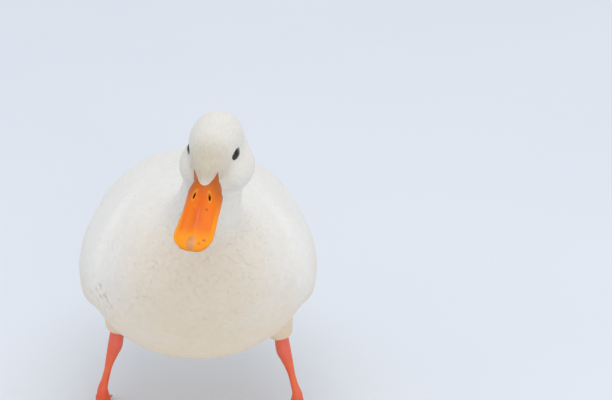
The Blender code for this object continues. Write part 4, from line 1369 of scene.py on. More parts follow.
def upper_bill(surface):
    """The bill, grown together with its horns, then shaped: a raised border with a groove inside it,
    troughs beside the ridge, and pitted nostrils with rims."""
    forms = [bill_blank(), *(horn_form(surface, side) for side in SIDES.values())]
    obj = fused("bill_upper_skin", forms, BILL_VOXEL, BILL_SMOOTHING)
    points, normals = points_of(obj.data), normals_of(obj.data)
    forward, left, up = head_places(points)
    _, _, half_width, _ = UPPER_BILL(forward / MM)
    out = np.abs(left) / half_width
    # All in millimetres: how far in from the border, and the relief
    border = np.minimum((1 - out) * half_width * 1.6, (BILL_LENGTH - forward) * 0.9) / MM
    rim = eased(forward, 18 * MM, 40 * MM)
    relief = 0.32 * hump(border - 1.6, 1.0) * rim
    relief -= 0.36 * hump(border - 3.9, 1.1) * rim
    middle = eased(forward, 16 * MM, 30 * MM) * faded(forward, 40 * MM, 50 * MM)
    relief -= 0.5 * hump(np.abs(left) / MM - 6.4, 2.6) * middle
    relief += 0.3 * hump(left / MM, 1.6) * middle
    ring = np.hypot(*nostril_places(forward, left))
    relief += 0.35 * hump(ring - 1.55, 0.36)
    relief -= NOSTRIL_DEPTH * faded(ring, 0.55, 1.15)
    facing = eased(dot(normals, HEAD_UP), 0.0, 0.4)
    top = facing * eased(up, -18 * MM, -15 * MM)
    near_tip = facing * eased(forward, 16 * MM, 22 * MM)
    moved_points(obj.data, points + normals * (relief * np.maximum(top, near_tip) * MM)[:, None])
    return obj


def lower_bill():
    """The lower bill, with the comb of its edge and a groove down the middle below."""
    end = BILL_LENGTH - LOWER_BILL_SHORT

    def place(station, angle):
        forward = between(BILL_ROOT, end, np.sin(math.pi / 2 * station))
        _, edge, half_width, _ = UPPER_BILL(forward / MM)
        top = edge - MOUTH_GAP
        turn = np.abs(angle)
        across = np.sin(turn)
        comb = LAMELLA_DEPTH * np.sin(math.tau * forward / LAMELLA) * eased(across, 0.8, 0.97)
        left = np.sign(angle) * ((half_width - LOWER_BILL_INSET) * across + comb)
        below = turn > math.pi / 2
        down = np.where(below, np.abs(np.cos(angle)) ** 0.7 * LOWER_BILL_DEPTH, 0)
        down = down - np.where(below, LOWER_GROOVE * hump(left / MM, 1.5), 0)
        return head_points(forward, left, top - down)

    return linked("bill_lower_skin", lofted(place, 64, 300))


def nail(bill):
    """The hard plate that lies on the tip of the bill and hooks over its edge."""
    surface = Surface(bill.data)

    def place(x, y, z):
        u, v = 2 * x - 1, 2 * y - 1
        aside, down = u * np.sqrt(1 - v**2 / 2), v * np.sqrt(1 - u**2 / 2)
        forward, up = NAIL_LINE(down)
        on, normals = surface.nearest(head_points(forward, NAIL_WIDTH * aside, up))
        dome = np.sqrt(np.clip(1 - aside**2 - down**2, 0, 1))
        return on + normals * ((NAIL_RISE * dome - 0.05) * z - NAIL_SINK * (1 - z))[..., None] * MM

    return linked("bill_nail_plate", slab(place, 19))


# The eyes

EYE_IN, EYE_UP = 1.9 * MM, 1.0 * MM  # how far the eyeball is sunk and raised from the middle of its solid
LID_REACH = (7.0 * MM, 5.2 * MM)  # from the middle of the opening to the lids' outer edge, along and up
EYE_SLANT = math.radians(6)  # the corner by the bill is the lower one
# How much an eye looks out, forward and up
EYE_OUT, EYE_AHEAD, EYE_RISE = 0.93, 0.32, 0.34
LIDS_OUT = 0.93  # how far out the lids' middle lies, as a share of the eyeball's radius
LIDS_BAND = 9 * MM  # how far in and out of that the opening is measured
FAR_OFF = 9  # the opening's measure for points beyond that


class Eye:
    """Where an eye is: its middle, the way that its opening looks, and its own axes."""

    def __init__(self, name):
        low, high = (np.array(corner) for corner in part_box(f"eye_{name}"))
        side = SIDES[name]
        self.name = name
        self.way = unit(side * HEAD_LEFT * EYE_OUT + HEAD_FORWARD * EYE_AHEAD + HEAD_UP * EYE_RISE)
        self.centre = (low + high) / 2 - self.way * EYE_IN + HEAD_UP * EYE_UP
        slanted = HEAD_FORWARD * math.cos(EYE_SLANT) - HEAD_UP * math.sin(EYE_SLANT)
        self.along = unit(slanted - self.way * dot(self.way, slanted))
        self.up = np.cross(self.along, self.way) * -side
        self.lid_centre = self.centre + self.way * EYE_RADIUS * LIDS_OUT

    def places(self, points):
        """How far along, up and out the points lie from the middle of the lids."""
        off = points - self.lid_centre
        return dot(off, self.along), dot(off, self.up), dot(off, self.way)

    def opening(self, points):
        """How far from the eye's middle the points lie: 1 at the lids' outer edge, more outside."""
        x, y, z = self.places(points)
        return np.where(np.abs(z) < LIDS_BAND, np.hypot(x / LID_REACH[0], y / LID_REACH[1]), FAR_OFF)


EYES = [Eye(name) for name in SIDES]
CORNEA = 0.5 * MM  # how far the clear front bulges


def eyeball(eye):
    """An eyeball whose clear front bulges a little."""

    def place(old):
        bulge = EYE_RADIUS + CORNEA * eased(old[:, 2], 0.72, 0.95)
        return eye.centre + (old * bulge[:, None]) @ np.array((eye.along, eye.up, eye.way))

    bm = bmesh.new()
    bmesh.ops.create_uvsphere(bm, u_segments=64, v_segments=48, radius=1)
    return linked(f"eyeball_{eye.name}", reshaped(bm, place))


LID_GAP = 0.05 * MM  # from the eyeball to the lids' inner edge
LID_RISE, LID_SINK = 0.75, 0.8  # millimetres that the ring of the lids rises and sinks
LID_TUCK = 0.5  # millimetres that its outer edge lies under the feathers
LID_RING = 3  # the radius of the plain ring that the lids are shaped from, over that of its section


def lids(eye, surface):
    """The two lids as one ring of bare skin: from the eyeball, with the opening's corners drawn out, up to
    the feathers."""
    axes = np.array((eye.along, eye.up, eye.way))

    def place(old):
        around = np.arctan2(old[:, 1], old[:, 0])
        wide = np.hypot(old[:, 0], old[:, 1]) - LID_RING
        section = np.arctan2(old[:, 2], wide)
        corner = np.abs(np.cos(around)) ** 2.2
        upper = np.sin(around) > 0
        polar = np.radians(np.where(upper, 30 + 32 * corner, 33 + 29 * corner))
        flat, rise = np.sin(polar), np.cos(polar)
        rim = stacked(flat * np.cos(around), flat * np.sin(around), rise)
        inner = eye.centre + (EYE_RADIUS + LID_GAP) * rim @ axes
        border = stacked(LID_REACH[0] * np.cos(around), LID_REACH[1] * np.sin(around), EYE_RADIUS)
        outer, normals = surface.nearest(eye.centre + border @ axes)
        outer = outer - normals * LID_TUCK * MM
        share = (1 + np.cos(section)) / 2
        fold = 1 + 0.16 * np.sin(share * 19)
        height = np.sin(section)
        bulge = np.where(height > 0, LID_RISE * fold * np.abs(height) ** 0.8, LID_SINK * height)
        return between(inner, outer, share[:, None]) + eye.way * (bulge * MM)[:, None]

    bm = bmesh.new()
    ring = bmesh.ops.create_circle(bm, segments=24, radius=1)
    bmesh.ops.rotate(bm, verts=ring["verts"], matrix=Matrix.Rotation(math.pi / 2, 3, "X"))
    bmesh.ops.translate(bm, verts=ring["verts"], vec=(LID_RING, 0, 0))
    bmesh.ops.spin(
        bm,
        geom=bm.verts[:] + bm.edges[:],
        axis=(0, 0, 1),
        cent=(0, 0, 0),
        angle=math.tau,
        steps=72,
        use_merge=True,
    )
    return linked(f"lids_{eye.name}", reshaped(bm, place))


# The legs


def toe_way(name, angle):
    turn = SIDES[name] * (angle + FOOT_SPLAY)
    return np.array((math.sin(turn), -math.cos(turn), 0))


def bare_leg(name):
    """The leg from inside the thigh to the foot, thickest at the heel and thinnest below its middle."""
    side, heel, ankle = leg_frame(name)
    knee = unit(np.array((-side * 0.22, -0.45, 0.87)))  # the way from the heel to it
    shank, inward = ankle - heel, np.array((-side * MM, 0, 0))
    rows = [
        (0, *(heel + knee * 15 * MM), 4.4 * MM),
        (1, *(heel + knee * 7 * MM), 5.4 * MM),
        (2, *heel, 6.3 * MM),
        (3, *(heel + shank * 0.22 + inward * 1.2), 6.7 * MM),
        (4, *(heel + shank * 0.35 + inward * 0.6), 5.6 * MM),
        (5, *(heel + shank * 0.52), 4.0 * MM),
        (6, *(heel + shank * 0.68), 3.2 * MM),
        (7, *(heel + shank * 0.84), 3.5 * MM),
        (8, *ankle, 4.8 * MM),
        (9, *(ankle - (0, 0, 7 * MM)), 6.1 * MM),
    ]
    return tubed(Curve(rows), 32, 64, 1.25)


def toe(name, angle, length, radius):
    """A toe with a pad at each joint."""
    _, _, ankle = leg_frame(name)
    way = toe_way(name, angle)
    across = np.array((way[1], -way[0], 0))

    def place(station, turn):
        height = radius * 0.8 + 5 * MM * np.clip(1 - station / 0.35, 0, 1) ** 2
        size = radius * (1.25 - 0.42 * station) * (1 + 0.1 * np.cos(math.tau * 2.5 * station))
        middle = stacked(ankle[0], ankle[1], height) + way * (length * station)[:, None]
        return middle + across * (size * np.sin(turn))[:, None] + stacked(0, 0, size * np.cos(turn))

    return lofted(place, 24, 40)


def web(name, near, far):
    """The skin between two toes, with a hollow front edge and thin folds."""
    _, _, ankle = leg_frame(name)

    def place(x, y, z):
        reach = 0.12 + 0.88 * x
        turn = SIDES[name] * (between(near[1], far[1], y) + FOOT_SPLAY)
        length = between(near[2], far[2], y) * WEB_REACH
        hollow = np.sin(math.pi * y)
        length = length * reach * (1 - WEB_HOLLOW * hollow * reach)
        height = 1.0 * MM + 3.4 * MM * (1 - reach) ** 1.5 + 0.8 * MM * hollow * reach
        height = height + WEB_FOLD * np.sin(math.tau * WEB_FOLDS * y) * hollow
        skin = stacked(np.sin(turn) * length, -np.cos(turn) * length, height + (z - 0.5) * WEB_THICK)
        return skin + (ankle[0], ankle[1], 0)

    return slab(place, 20)


FOOT_VOXEL = 0.62 * MM
FOOT_SMOOTHING = 5
SCUTE = 2.7 * MM  # from one scute to the next down a toe
SHIN_SCUTES = 1.15  # how much longer they are down the leg
SCUTE_RISE = 0.32 * MM


def leg(name):
    """The bare leg and foot as one skin, with scutes down the front of the leg and the top of each toe."""
    _, heel, ankle = leg_frame(name)
    hub = ball(ankle * (1, 1, 0) + np.array((0, 1, 7)) * MM, np.array((6.8, 7.6, 7.4)) * MM)
    toes = [toe(name, *measures[1:]) for measures in (*TOES, HIND_TOE)]
    webs = [web(name, near, far) for near, far in zip(TOES, TOES[1:])]
    obj = fused(f"leg_skin_{name}", [bare_leg(name), hub, *toes, *webs], FOOT_VOXEL, FOOT_SMOOTHING)
    points, normals = points_of(obj.data), normals_of(obj.data)
    relief = np.zeros(len(points))
    for _, angle, length, radius in TOES:
        way = toe_way(name, angle)
        off = points - ankle * (1, 1, 0)
        far = dot(off, way)
        aside = np.abs(dot(off, (way[1], -way[0], 0)))
        share = faded(aside, radius * 0.55, radius) * eased(normals[:, 2], 0.1, 0.5)
        share = share * eased(far, 6 * MM, 11 * MM) * faded(far, length * 0.95, length * 1.02)
        relief = np.where(share > 0, scuted(far / SCUTE) * share, relief)
    shin = unit(heel - ankle)
    far = dot(points - ankle, shin)
    over_foot = eased(points[:, 2], ANKLE_HEIGHT - 3 * MM, ANKLE_HEIGHT + 4 * MM)
    front = eased(-normals[:, 1], 0.05, 0.5) * over_foot
    relief = relief + scuted(-far / (SCUTE * SHIN_SCUTES)) * front
    points += normals * (relief * SCUTE_RISE)[:, None]
    points[:, 2] = np.maximum(points[:, 2], 0)
    moved_points(obj.data, points)
    return obj


def scuted(turns):
    """The relief of overlapping plates, one a turn: each rises slowly to its free edge and drops."""
    share = turns - np.floor(turns)
    return share * faded(share, 0.86, 1.0) - 0.5


def claw(name, toe_name, angle, length, radius):
    """A claw, bent a little down."""
    _, _, ankle = leg_frame(name)
    way = toe_way(name, angle)
    across = np.array((way[1], -way[0], 0))

    def place(station, turn):
        height = radius * 0.75 + 0.2 * MM + 0.9 * MM * np.sin(math.pi * station) - 0.25 * radius * station
        size = radius * 0.62 * (1 - station) ** 0.6 + 0.25 * MM
        reach = length + CLAW_GAP * 0.2 + CLAW_LENGTH * station
        middle = stacked(ankle[0], ankle[1], height) + way * reach[:, None]
        flat = np.where(np.cos(turn) < -0.5, 0.85, 1)
        middle = middle + across * (size * 0.8 * np.sin(turn))[:, None]
        return middle + stacked(0, 0, size * flat * np.cos(turn))

    return linked(f"claw_horn_{name}_{toe_name}", lofted(place, 24, 16))


# Materials


def srgb(red, green, blue):
    """A colour as a screen shows it, 0 to 255, in linear light."""
    levels = np.array((red, green, blue)) / 255
    return (*np.where(levels < 0.04045, levels / 12.92, ((levels + 0.055) / 1.055) ** 2.4), 1)


class Value:
    """A number that changes over a surface. Arithmetic on it adds Math nodes."""

    def __init__(self, finish, socket):
        self.finish, self.socket = finish, socket

    def __add__(self, other):
        return self.finish.math("ADD", self, other)

    def __sub__(self, other):
        return self.finish.math("SUBTRACT", self, other)

    def __rsub__(self, other):
        return self.finish.math("SUBTRACT", other, self)

    def __mul__(self, other):
        return self.finish.math("MULTIPLY", self, other)

    def __truediv__(self, other):
        return self.finish.math("DIVIDE", self, other)

    __radd__, __rmul__ = __add__, __mul__


class Finish:
    """A material, made node by node."""

    def __init__(self, name, **constants):
        self.material = bpy.data.materials.new(name)
        self.material.use_nodes = True
        self.tree = self.material.node_tree
        self.shader = self.tree.nodes["Principled BSDF"]
        self.surface(**constants)

    def fill(self, socket, value):
        if isinstance(value, Value):
            self.tree.links.new(value.socket, socket)
        elif value is not None:
            socket.default_value = value

    def node(self, kind, settings, *placed, output=0, **named):
        """Adds a node: its settings first, then its inputs by place or by name, each a value or a link."""
        node = self.tree.nodes.new(kind)
        for key, value in settings.items():
            setattr(node, key, value)
        for socket, value in zip([s for s in node.inputs if s.enabled], placed):
            self.fill(socket, value)
        for key, value in named.items():
            self.fill(node.inputs[key.replace("_", " ")], value)
        return Value(self, [s for s in node.outputs if s.enabled][output])

    def surface(self, **named):
        for key, value in named.items():
            self.fill(self.shader.inputs[key.replace("_", " ")], value)

    def math(self, operation, *values):
        return self.node("ShaderNodeMath", {"operation": operation}, *values)

    def place(self):
        """Where each point is, in metres."""
        return self.node("ShaderNodeTexCoord", {}, output=3)

    def height(self, place):
        return self.dot(place, (0, 0, 1))

    def dot(self, vector, way):
        return self.node("ShaderNodeVectorMath", {"operation": "DOT_PRODUCT"}, vector, tuple(way))

    def distance(self, vector, place):
        return self.node("ShaderNodeVectorMath", {"operation": "DISTANCE"}, vector, tuple(place))

    def smooth(self, value, low, high):
        """0 below low, 1 above high, and smooth between them."""
        settings = {"interpolation_type": "SMOOTHSTEP"}
        return self.node("ShaderNodeMapRange", settings, value, low, high, 0.0, 1.0)

    def fades(self, value, low, high):
        """1 below low, 0 above high, and smooth between them."""
        return 1 - self.smooth(value, low, high)

    def mix(self, share, first, second):
        return self.node("ShaderNodeMix", {"data_type": "RGBA"}, share, first, second)

    def noise(self, vector, scale, detail):
        return self.node("ShaderNodeTexNoise", {}, Vector=vector, Scale=scale, Detail=detail)

    def cells(self, vector, scale):
        """How far each point is from the edge of its cell."""
        return self.node("ShaderNodeTexVoronoi", {"feature": "DISTANCE_TO_EDGE"}, vector, None, scale)

    def bump(self, height, distance, strength):
        return self.node("ShaderNodeBump", {}, Strength=strength, Distance=distance, Height=height)

    def head_axes(self):
        """Forward of the notch, left and up, in millimetres."""
        place = self.place()
        return [(self.dot(place, way) - float(dot(way, NOTCH))) * (1 / MM) for way in HEAD_AXES]

    def wave(self, value):
        return self.math("SINE", value)

    def size(self, value):
        """The value without its sign."""
        return self.math("ABSOLUTE", value)

    def length(self, x, y):
        return self.math("SQRT", x * x + y * y)


WHITE = srgb(241, 239, 234)
# Cream low on the body: partly the feathers' own tint, partly painted shade on the underside
LOW_CREAM_AND_SHADE = srgb(236, 214, 180)
# Buff over the bill: partly a stain, partly painted shade on the forehead
BROW_BUFF_AND_SHADE = srgb(198, 184, 157)
# Greyer white of the face: partly a tint, partly painted shade on the cheeks
FACE_GREY_AND_SHADE = srgb(222, 218, 208)
STAIN = srgb(176, 142, 112)
# The breast's darker cream: partly its tint, partly painted shade under the head and bill
BREAST_CREAM_AND_SHADE = srgb(213, 198, 174)
SHAFT_CREAM = srgb(226, 216, 196)
BLACK = (0, 0, 0, 1)
BREAST = np.array((0, -182, 182)) * MM
FLANK = np.array((-82, -130, 162)) * MM
FACE = head_points(-14 * MM, 0, 2 * MM)
BROW = head_points(-11 * MM, 0, 9 * MM)


def plumage_colour(finish):
    """White; cream low on the body and on the breast, greyer on the face and buff over the bill, each partly
    a tint of the feathers and partly painted shade, with faint brown marks low on the right flank."""
    place = finish.place()
    cloud = finish.noise(place, 26.0, 4.0)
    streak = finish.noise(place, 140.0, 3.0)
    # Cream tint and painted shade: the plumage turns to a darker cream towards the bottom of the body
    low = finish.fades(finish.height(place) + (cloud - 0.5) * 0.05, 0.10, 0.20)
    # Painted shade under the head and bill, together with the breast's cream tint
    breast_cream_and_shade = finish.fades(finish.distance(place, BREAST) + (cloud - 0.5) * 0.03, 0.02, 0.12)
    colour = finish.mix(breast_cream_and_shade * 0.75, WHITE, BREAST_CREAM_AND_SHADE)
    colour = finish.mix(low * 0.85, colour, LOW_CREAM_AND_SHADE)
    # Painted shade on the face and cheeks, together with a greyer tint
    face_grey_and_shade = finish.fades(finish.distance(place, FACE), 0.02, 0.075)
    colour = finish.mix(face_grey_and_shade * 0.85, colour, FACE_GREY_AND_SHADE)
    # Painted shade on the forehead over the bill, together with a buff stain
    brow_buff_and_shade = finish.fades(finish.distance(place, BROW), 0.006, 0.031)
    colour = finish.mix(brow_buff_and_shade * 0.7, colour, BROW_BUFF_AND_SHADE)
    flank = finish.fades(finish.distance(place, FLANK), 0.006, 0.028)
    colour = finish.mix(flank * finish.smooth(streak, 0.54, 0.66) * 0.4, colour, STAIN)
    return colour, streak


# Millimetres from one barb to the next, on the parts of the coat and on the long feathers
BARBS = {"head": 0.32, "neck": 0.45, "body": 0.6}
LONG_BARBS = 0.7
LONG_SHAFT = 0.2  # how strongly the shaft's colour shows on them
BARB_SLANT = 0.9
BARB_RISE = 0.00008  # metres of relief for each millimetre between barbs
UNEVEN_TONE = 0.035  # how much darker the darkest feather is than the lightest


def barbs(finish, pitch):
    """The fine ridges of a feather's barbs, which slant from its shaft to its edges."""
    vane = finish.node("ShaderNodeUVMap", {"uv_map": "Vane"})
    u = finish.dot(vane, (1, 0, 0))
    v = finish.dot(vane, (0, 1, 0))
    aside = finish.size(u)
    return finish.wave((v - aside * BARB_SLANT) * (math.tau / pitch)), aside


def plume_finish(name, pitch, shaft=0.0):
    """Feathers with barbs so many millimetres apart, and a shaft that shows so strongly."""
    finish = Finish(name, Sheen_Weight=0.2, Sheen_Roughness=0.5, Specular_IOR_Level=0.2)
    colour, streak = plumage_colour(finish)
    ridges, aside = barbs(finish, pitch)
    tone = finish.node("ShaderNodeAttribute", {"attribute_name": "tone"}, output=2)
    colour = finish.mix(tone * UNEVEN_TONE, colour, BLACK)
    if shaft:
        colour = finish.mix(finish.fades(aside, 0.2, 0.55) * shaft, colour, SHAFT_CREAM)
    finish.surface(Base_Color=colour, Roughness=0.62 + streak * 0.2)
    finish.surface(Normal=finish.bump(ridges, pitch * BARB_RISE, 0.5))
    return finish.material


def down_finish():
    """Fine down, which shows between the feathers."""
    finish = Finish("down", Sheen_Weight=0.25, Specular_IOR_Level=0.2)
    colour, streak = plumage_colour(finish)
    tufts = finish.noise(finish.place(), 900.0, 2.0)
    finish.surface(Base_Color=colour, Roughness=0.75 + streak * 0.2, Normal=finish.bump(tufts, 0.0006, 0.5))
    return finish.material


BILL_ORANGE = srgb(238, 116, 0)
BILL_RED = srgb(222, 88, 4)
BILL_YELLOW = srgb(252, 154, 0)
BILL_PALE = srgb(238, 132, 40)
BILL_BROWN = srgb(176, 90, 20)
BILL_PINK = srgb(228, 128, 96)
NOSTRIL_HALO = srgb(236, 150, 40)
# Painted shade in the nostrils' pits
NOSTRIL_SHADE = srgb(58, 18, 8)
MARK_BROWN = srgb(120, 50, 20)
GAPE_BROWN = srgb(84, 50, 30)
# Brown painted shade under the upper bill's edge: along the mouth line and on the lower bill
MOUTH_LINE_SHADE = srgb(170, 70, 20)
# Small dark marks: millimetres forward and left, size and strength
BILL_MARKS = ((19.5, 6.0, 1.0, 0.6), (47.5, 10.0, 1.5, 0.5), (51.0, 6.6, 1.1, 0.35))


def bill_finish():
    """Orange, browner at the base and redder down the middle, with a yellow tip and border, pale streaks,
    painted shade in the nostrils' pits, and brown painted shade along the mouth line and on the lower bill."""
    finish = Finish("bill_horn", Coat_Weight=0.08, Coat_Roughness=0.3, Specular_IOR_Level=0.25)
    forward, left, up = finish.head_axes()
    aside = finish.size(left)
    place = finish.place()
    cloud = finish.noise(place, 130.0, 4.0)
    grain = finish.noise(place, 900.0, 3.0)
    middle = finish.fades(aside + (cloud - 0.5) * 6.0, 0.5, 6.5) * finish.smooth(forward, -4.0, 12.0)
    colour = finish.mix(middle * finish.fades(forward, 28.0, 42.0) * 0.6, BILL_ORANGE, BILL_RED)
    base = finish.fades(forward + (cloud - 0.5) * 6.0, -2.0, 15.0)
    colour = finish.mix(base * 0.85, colour, BILL_BROWN)
    line = finish.fades(finish.size(left + (cloud - 0.5) * 2.0), 0.2, 1.5)
    line = line * finish.smooth(forward, 17.0, 24.0) * finish.fades(forward, 34.0, 40.0)
    colour = finish.mix(line * 0.45, colour, BILL_PINK)
    tip = finish.smooth(forward + (cloud - 0.5) * 8.0, 35.0, 47.0)
    colour = finish.mix(tip * 0.85, colour, BILL_YELLOW)
    rim = finish.smooth(aside, 11.8, 14.2) * finish.smooth(forward, 4.0, 30.0)
    colour = finish.mix(rim * 0.8, colour, BILL_YELLOW)
    streaks = finish.noise(finish.node("ShaderNodeMapping", {}, place, None, None, (1, 0.35, 1)), 300.0, 4.0)
    colour = finish.mix(finish.smooth(streaks, 0.58, 0.72) * 0.3, colour, BILL_PALE)
    c, s = math.cos(NOSTRIL_TURN), math.sin(NOSTRIL_TURN)
    x, y = forward - NOSTRIL[0] / MM, aside - NOSTRIL[1] / MM
    long, wide = (x * c + y * s) / (NOSTRIL_SIZE[0] / MM), (y * c - x * s) / (NOSTRIL_SIZE[1] / MM)
    ring = finish.length(long, wide)
    colour = finish.mix(finish.fades(ring, 1.5, 2.3) * 0.55, colour, NOSTRIL_HALO)
    # Painted shade: the nostrils' pits are made nearly black
    colour = finish.mix(finish.fades(ring, 0.7, 1.02), colour, NOSTRIL_SHADE)
    for mark_forward, mark_left, size, depth in BILL_MARKS:
        off = finish.length(forward - mark_forward, left - mark_left)
        spot = finish.fades(off + (grain - 0.5) * 1.2, size * 0.5, size * 1.4)
        colour = finish.mix(spot * depth, colour, MARK_BROWN)
    gape = finish.fades(finish.size(forward + 0.6), 0.6, 2.2) * finish.smooth(aside, 12.4, 13.6)
    colour = finish.mix(gape * finish.fades(up, -14.0, -12.0) * 0.8, colour, GAPE_BROWN)
    # Painted shade: brown below the upper bill's edge, over the mouth line and the lower bill beneath it
    below = finish.fades(up, -20.5, -19.3) * finish.fades(forward, 50.0, 54.0)
    colour = finish.mix(below * 0.4, colour, MOUTH_LINE_SHADE)
    relief = finish.bump(grain * 0.5 + streaks, 0.00012, 0.6)
    finish.surface(Base_Color=colour, Roughness=0.34 + cloud * 0.18, Normal=relief)
    return finish.material


NAIL_TAN = srgb(220, 150, 80)
NAIL_BROWN = srgb(208, 128, 54)
NAIL_TIP = srgb(212, 128, 70)
NAIL_EDGE = srgb(244, 148, 30)


def nail_finish():
    """Tan horn, more orange towards the nail's sides."""
    finish = Finish("nail_horn", Coat_Weight=0.4, Coat_Roughness=0.15)
    forward, left, _ = finish.head_axes()
    place = finish.place()
    cloud = finish.noise(place, 260.0, 3.0)
    colour = finish.mix(finish.smooth(cloud, 0.35, 0.65), NAIL_TAN, NAIL_BROWN)
    colour = finish.mix(finish.smooth(forward, 51.0, 55.5) * 0.6, colour, NAIL_TIP)
    edge = finish.smooth(finish.size(left) + (cloud - 0.5) * 1.5, 2.2, 4.0)
    colour = finish.mix(edge * 0.8, colour, NAIL_EDGE)
    finish.surface(Base_Color=colour, Roughness=0.28 + cloud * 0.12, Normal=finish.bump(cloud, 0.0001, 0.5))
    return finish.material


IRIS_SLATE = srgb(16, 20, 32)
IRIS_GREY = srgb(38, 38, 46)
IRIS_BROWN = srgb(112, 84, 64)
PUPIL = srgb(3, 3, 5)
EYE_BORDER = srgb(20, 16, 16)
IRIS_RAYS = 34.0


def eye_finish(eye):
    """A black pupil in a dark slate iris that is browner below, wet all over."""
    finish = Finish(f"eye_wet_{eye.name}", Coat_Weight=0.6, Coat_Roughness=0.03, IOR=1.3)
    place = finish.place()
    facing = (finish.dot(place, eye.way) - float(dot(eye.way, eye.centre))) / EYE_RADIUS
    across = finish.dot(place, eye.along) - float(dot(eye.along, eye.centre))
    high = finish.dot(place, eye.up) - float(dot(eye.up, eye.centre))
    turn = finish.math("ARCTAN2", high, across)
    rays = finish.wave(turn * IRIS_RAYS) * 0.5 + 0.5
    cloud = finish.noise(place, 700.0, 3.0)
    iris = finish.mix(rays * 0.5 + cloud * 0.5, IRIS_SLATE, IRIS_GREY)
    iris = finish.mix(finish.fades(high, -0.0028, -0.0012), iris, IRIS_BROWN)
    colour = finish.mix(finish.smooth(facing, 0.925, 0.945), iris, PUPIL)
    colour = finish.mix(finish.fades(facing, 0.62, 0.72), colour, EYE_BORDER)
    finish.surface(Base_Color=colour, Roughness=0.06 + cloud * 0.04)
    return finish.material


LID_PALE = srgb(240, 234, 224)
LID_CREAM = srgb(228, 212, 194)
LID_EDGE = srgb(96, 76, 68)


def lid_finish(eye):
    """Pale bare skin in tiny cells, darker where it meets the eyeball."""
    finish = Finish(f"lid_skin_{eye.name}", Coat_Weight=0.1)
    place = finish.place()
    cloud = finish.noise(place, 800.0, 3.0)
    colour = finish.mix(cloud, LID_PALE, LID_CREAM)
    edge = finish.fades(finish.distance(place, eye.centre), EYE_RADIUS + 0.00025, EYE_RADIUS + 0.0007)
    colour = finish.mix(edge * 0.7, colour, LID_EDGE)
    relief = finish.bump(finish.cells(place, 2600.0), 0.0002, 0.4)
    finish.surface(Base_Color=colour, Roughness=0.45 + cloud * 0.2, Normal=relief)
    return finish.material


LEG_ORANGE = srgb(255, 124, 76)
LEG_RED = srgb(248, 98, 60)
LEG_PALE = srgb(255, 172, 132)
JOINT_PINK = srgb(252, 120, 100)
FOOT_RED = srgb(238, 84, 46)
SCALE_SEAM = srgb(190, 60, 36)


def leg_finish():
    """Orange skin in small scales, pinker at the heel, redder on the foot and paler on the pads."""
    finish = Finish("leg_scales", Coat_Weight=0.1, Coat_Roughness=0.4)
    place = finish.place()
    cloud = finish.noise(place, 90.0, 4.0)
    grain = finish.noise(place, 1400.0, 2.0)
    cells = finish.cells(place, 620.0)
    height = finish.height(place)
    colour = finish.mix(finish.smooth(cloud, 0.35, 0.7), LEG_ORANGE, LEG_RED)
    colour = finish.mix(finish.smooth(height, 0.046, 0.058) * 0.8, colour, JOINT_PINK)
    colour = finish.mix(finish.fades(height, 0.01, 0.02) * 0.7, colour, FOOT_RED)
    colour = finish.mix(finish.fades(height, 0.001, 0.005) * 0.35, colour, LEG_PALE)
    colour = finish.mix(finish.fades(cells, 0.02, 0.16) * 0.3, colour, SCALE_SEAM)
    colour = finish.mix(finish.smooth(grain, 0.62, 0.75) * 0.25, colour, LEG_PALE)
    relief = finish.bump(finish.smooth(cells, 0.0, 0.22) + grain * 0.2, 0.00022, 0.7)
    finish.surface(Base_Color=colour, Roughness=0.42 + cloud * 0.25, Normal=relief)
    return finish.material


CLAW_TAN = srgb(206, 150, 104)
CLAW_BROWN = srgb(150, 96, 62)


def claw_finish():
    """Tan and brown horn in uneven patches."""
    finish = Finish("claw_horn", Coat_Weight=0.3, Coat_Roughness=0.2)
    place = finish.place()
    cloud = finish.noise(place, 600.0, 4.0)
    colour = finish.mix(cloud, CLAW_TAN, CLAW_BROWN)
    finish.surface(Base_Color=colour, Roughness=0.3 + cloud * 0.2, Normal=finish.bump(cloud, 0.0001, 0.5))
    return finish.material


FLOOR_SHADE = srgb(226, 233, 242)
FLOOR_LIGHT = srgb(234, 239, 246)


def floor_finish():
    finish = Finish("floor_pale", Specular_IOR_Level=0.1)
    cloud = finish.noise(finish.place(), 2.2, 4.0)
    finish.surface(Base_Color=finish.mix(cloud, FLOOR_SHADE, FLOOR_LIGHT), Roughness=0.9)
    return finish.material


# Floor, light and camera

CAMERA_DISTANCE = 3.1
PIXEL = 0.00089  # the size of a pixel of the photograph at the duck
FRAME_WIDTH, FRAME_HEIGHT = 612, 400
BODY_PIXEL = (197.5, 245.5)  # where the middle of the torso shows
CAMERA_ELEVATION = math.radians(22)
SENSOR_WIDTH = 36
FLOOR_REACH = 9
SKY_COLOUR, SKY_STRENGTH = srgb(238, 240, 244), 0.89
# The lamps: place, the place that each shines at, size, power and colour
LAMPS = {
    "overhead": ((0.2, -0.9, 3.2), (0, 0, 0.15), 2.8, 25, (1.0, 0.985, 0.96)),
    "front": ((0.6, -4.2, 1.0), (0, 0, 0.08), 1.6, 27, (1.0, 0.97, 0.93)),
}


def stage_floor():
    bm = bmesh.new()
    bmesh.ops.create_grid(bm, x_segments=2, y_segments=2, size=FLOOR_REACH)
    floor = linked("floor", bm)
    floor.data.materials.append(floor_finish())


def light(name, place, target, size, power, colour):
    lamp = bpy.data.lights.new(name, "AREA")
    lamp.shape = "DISK"
    lamp.size = size
    lamp.energy = power
    lamp.color = colour
    obj = bpy.data.objects.new(name, lamp)
    obj.location = place
    obj.rotation_euler = (Vector(target) - Vector(place)).to_track_quat("-Z", "Y").to_euler()
    bpy.context.scene.collection.objects.link(obj)


def lights():
    world = bpy.data.worlds.new("soft_sky")
    world.use_nodes = True
    sky = world.node_tree.nodes["Background"]
    sky.inputs["Color"].default_value = SKY_COLOUR
    sky.inputs["Strength"].default_value = SKY_STRENGTH
    bpy.context.scene.world = world
    for name, measures in LAMPS.items():
        light(name, *measures)


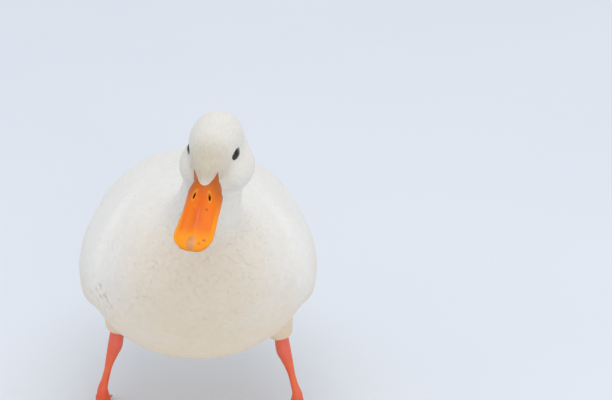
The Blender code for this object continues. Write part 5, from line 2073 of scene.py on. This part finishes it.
def camera():
    """Looks as the photograph does: from the front and above, with the body left of the middle."""
    focal = CAMERA_DISTANCE / PIXEL  # in pixels
    back = np.array((0, -math.cos(CAMERA_ELEVATION), math.sin(CAMERA_ELEVATION)))
    right = np.array((1.0, 0, 0))
    up = np.cross(right, -back)
    across = (BODY_PIXEL[0] - FRAME_WIDTH / 2) / focal
    rise = -(BODY_PIXEL[1] - FRAME_HEIGHT / 2) / focal
    view = unit(-back - right * across - up * rise)
    right = unit(np.cross(view, (0, 0, 1)))
    data = bpy.data.cameras.new("camera")
    data.sensor_width = SENSOR_WIDTH
    data.lens = SENSOR_WIDTH * focal / FRAME_WIDTH
    data.clip_start, data.clip_end = 0.05, 60
    obj = bpy.data.objects.new("camera", data)
    matrix = Matrix(np.array((right, np.cross(right, view), -view)).T.tolist()).to_4x4()
    obj.matrix_world = Matrix.Translation(Vector(BODY_CENTRE + back * CAMERA_DISTANCE)) @ matrix
    bpy.context.scene.collection.objects.link(obj)
    bpy.context.scene.camera = obj


# Putting it together


def dressed(piece, material, slot, *nodes):
    """Gives a piece its material, lets it ride with the duck, and hides the solids' parts that it stands
    for.
    """
    piece.data.materials.clear()
    piece.data.materials.append(material)
    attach(piece, "root")
    if nodes:
        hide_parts(*nodes)


def main():
    """Makes every piece. The order of the calls that draw from dice is part of the result."""
    bpy.context.scene.view_settings.view_transform = "Standard"
    dice = np.random.default_rng(SEED)
    form = coat_form()
    surface = Surface(form.data)
    plumes = {label: plume_finish(f"plumage_{label}", pitch) for label, pitch in BARBS.items()}
    long_plume = plume_finish("plumage_long", LONG_BARBS, LONG_SHAFT)
    for label, piece in coat(surface, dice):
        dressed(piece, plumes[label], "plumage")
    skin = skin_of(form)
    dressed(skin, down_finish(), "plumage", "torso", "neck", "head", "thigh_left", "thigh_right")
    for name in SIDES:
        for piece in wing(name, surface, dice):
            dressed(piece, long_plume, "plumage", f"wing_{name}")
    for piece in tail(dice):
        dressed(piece, long_plume, "plumage", "tail")
    horn = bill_finish()
    bill = upper_bill(surface)
    dressed(bill, horn, "bill", "bill_upper")
    dressed(lower_bill(), horn, "bill", "bill_lower")
    dressed(nail(bill), nail_finish(), "nail", "bill_nail")
    for eye in EYES:
        dressed(eyeball(eye), eye_finish(eye), "eye", f"eye_{eye.name}")
        dressed(lids(eye, surface), lid_finish(eye), "plumage")
    scales, horn = leg_finish(), claw_finish()
    for name in SIDES:
        dressed(leg(name), scales, "leg", f"shank_{name}", f"foot_{name}")
        for measures in (*TOES, HIND_TOE):
            dressed(claw(name, *measures), horn, "claw", f"claw_{name}_{measures[0]}")
    stage_floor()
    lights()
    camera()


main()
